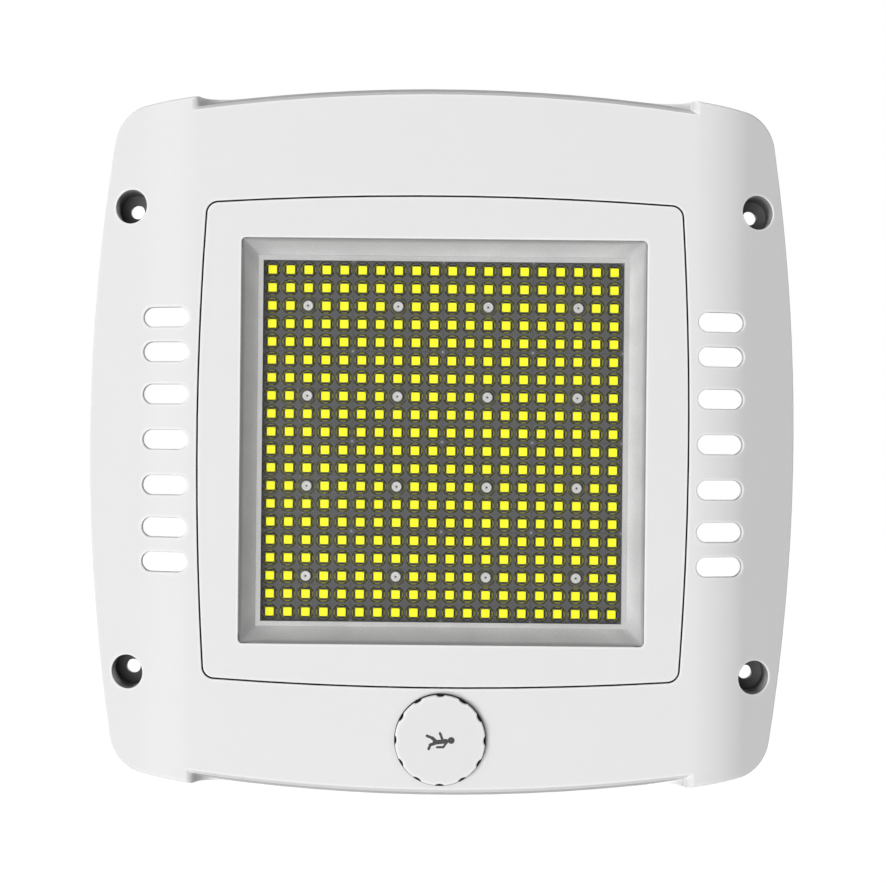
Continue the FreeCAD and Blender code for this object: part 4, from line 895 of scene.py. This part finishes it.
def layFloor():
    mesh = bmesh.new()
    bmesh.ops.create_grid(mesh, x_segments=1, y_segments=1, size=stage["floorSize"] / 2)
    bmesh.ops.translate(mesh, verts=mesh.verts, vec=(0.0, 0.0, stage["floorAt"]))
    data = bpy.data.meshes.new("floor")
    mesh.to_mesh(data)
    mesh.free()
    floor = bpy.data.objects.new("floor", data)
    bpy.context.collection.objects.link(floor)
    material, tree, shader = newMaterial("paleFloor")[:3]
    shader.inputs["Base Color"].default_value = opaque(stage["floorColour"])
    shader.inputs["Roughness"].default_value = stage["roughness"]
    shader.inputs["Specular IOR Level"].default_value = stage["specular"]
    shader.inputs["Emission Color"].default_value = pureWhite
    feed(tree, shader.inputs["Emission Strength"], times(tree, seenDirectly(tree), stage["seenGlow"]))
    data.materials.append(material)
    floor.visible_shadow = False


studio = {
    "worldFill": 0.178, "worldSeen": 1.0,
    "keyAt": (-2.11, -5.56, -0.88), "keySize": 4.4, "keyPower": 343.0,
    "backLamps": [(2.4, 4.6, 1.0), (-2.4, 4.6, 1.0)], "backSize": 3.0, "backPower": 140.0,
}


def hangLamp(name, spot, size, power):  # a round soft lamp turned to the middle of the object
    lamp = bpy.data.lights.new(name, "AREA")
    lamp.shape = "DISK"
    lamp.size = size
    lamp.energy = power
    holder = bpy.data.objects.new(name, lamp)
    holder.location = spot
    holder.rotation_euler = (-Vector(spot)).to_track_quat("-Z", "Y").to_euler()
    bpy.context.collection.objects.link(holder)
    return holder


def lightStudio():
    world = bpy.data.worlds.new("studio")
    bpy.context.scene.world = world
    world.use_nodes = True
    tree = world.node_tree
    tree.nodes.clear()
    fill, seen = (
        addNode(tree, "ShaderNodeBackground", {"Color": pureWhite, "Strength": studio[strength]}).outputs[0]
        for strength in ("worldFill", "worldSeen")
    )
    mix = addNode(tree, "ShaderNodeMixShader", {0: seenDirectly(tree), 1: fill, 2: seen})
    addNode(tree, "ShaderNodeOutputWorld", {"Surface": mix.outputs[0]})

    hangLamp("keyLight", studio["keyAt"], studio["keySize"], studio["keyPower"])
    # the lamps behind reach the light itself and not the floor
    lampOnly = bpy.data.collections.new("lampOnly")
    for item in list(bpy.context.scene.objects):
        if item.type == "MESH" and item.name != "floor":
            lampOnly.objects.link(item)
    for number, spot in enumerate(studio["backLamps"]):
        back = hangLamp(f"backLight{number}", spot, studio["backSize"], studio["backPower"])
        back.light_linking.receiver_collection = lampOnly


shot = {
    "imageSize": 886, "focalPixels": 2000.0, "sensor": 36.0, "roll": 0.5635,
    "eye": (-0.0165, -0.923, 0.0), "facePlane": 0.886, "seenCentre": (442.85, 441.67),
}


def placeCamera():
    data = bpy.data.cameras.new("photoCamera")
    data.sensor_width = shot["sensor"]
    data.lens = shot["focalPixels"] / shot["imageSize"] * shot["sensor"]
    half = shot["imageSize"] / 2
    pixels = shot["focalPixels"] / shot["facePlane"]
    data.shift_x = (-shot["eye"][0] * pixels - (shot["seenCentre"][0] - half)) / shot["imageSize"]
    data.shift_y = (shot["seenCentre"][1] - half) / shot["imageSize"]
    camera = bpy.data.objects.new("photoCamera", data)
    turn = Matrix.Rotation(math.radians(90), 4, "X") @ Matrix.Rotation(math.radians(shot["roll"]), 4, "Z")
    camera.matrix_world = Matrix.Translation(shot["eye"]) @ turn
    bpy.context.collection.objects.link(camera)
    bpy.context.scene.camera = camera


layFloor()
lightStudio()
placeCamera()
bpy.context.scene.view_settings.view_transform = "Standard"
print("stage, light and camera set")

bpy.context.view_layer.update()
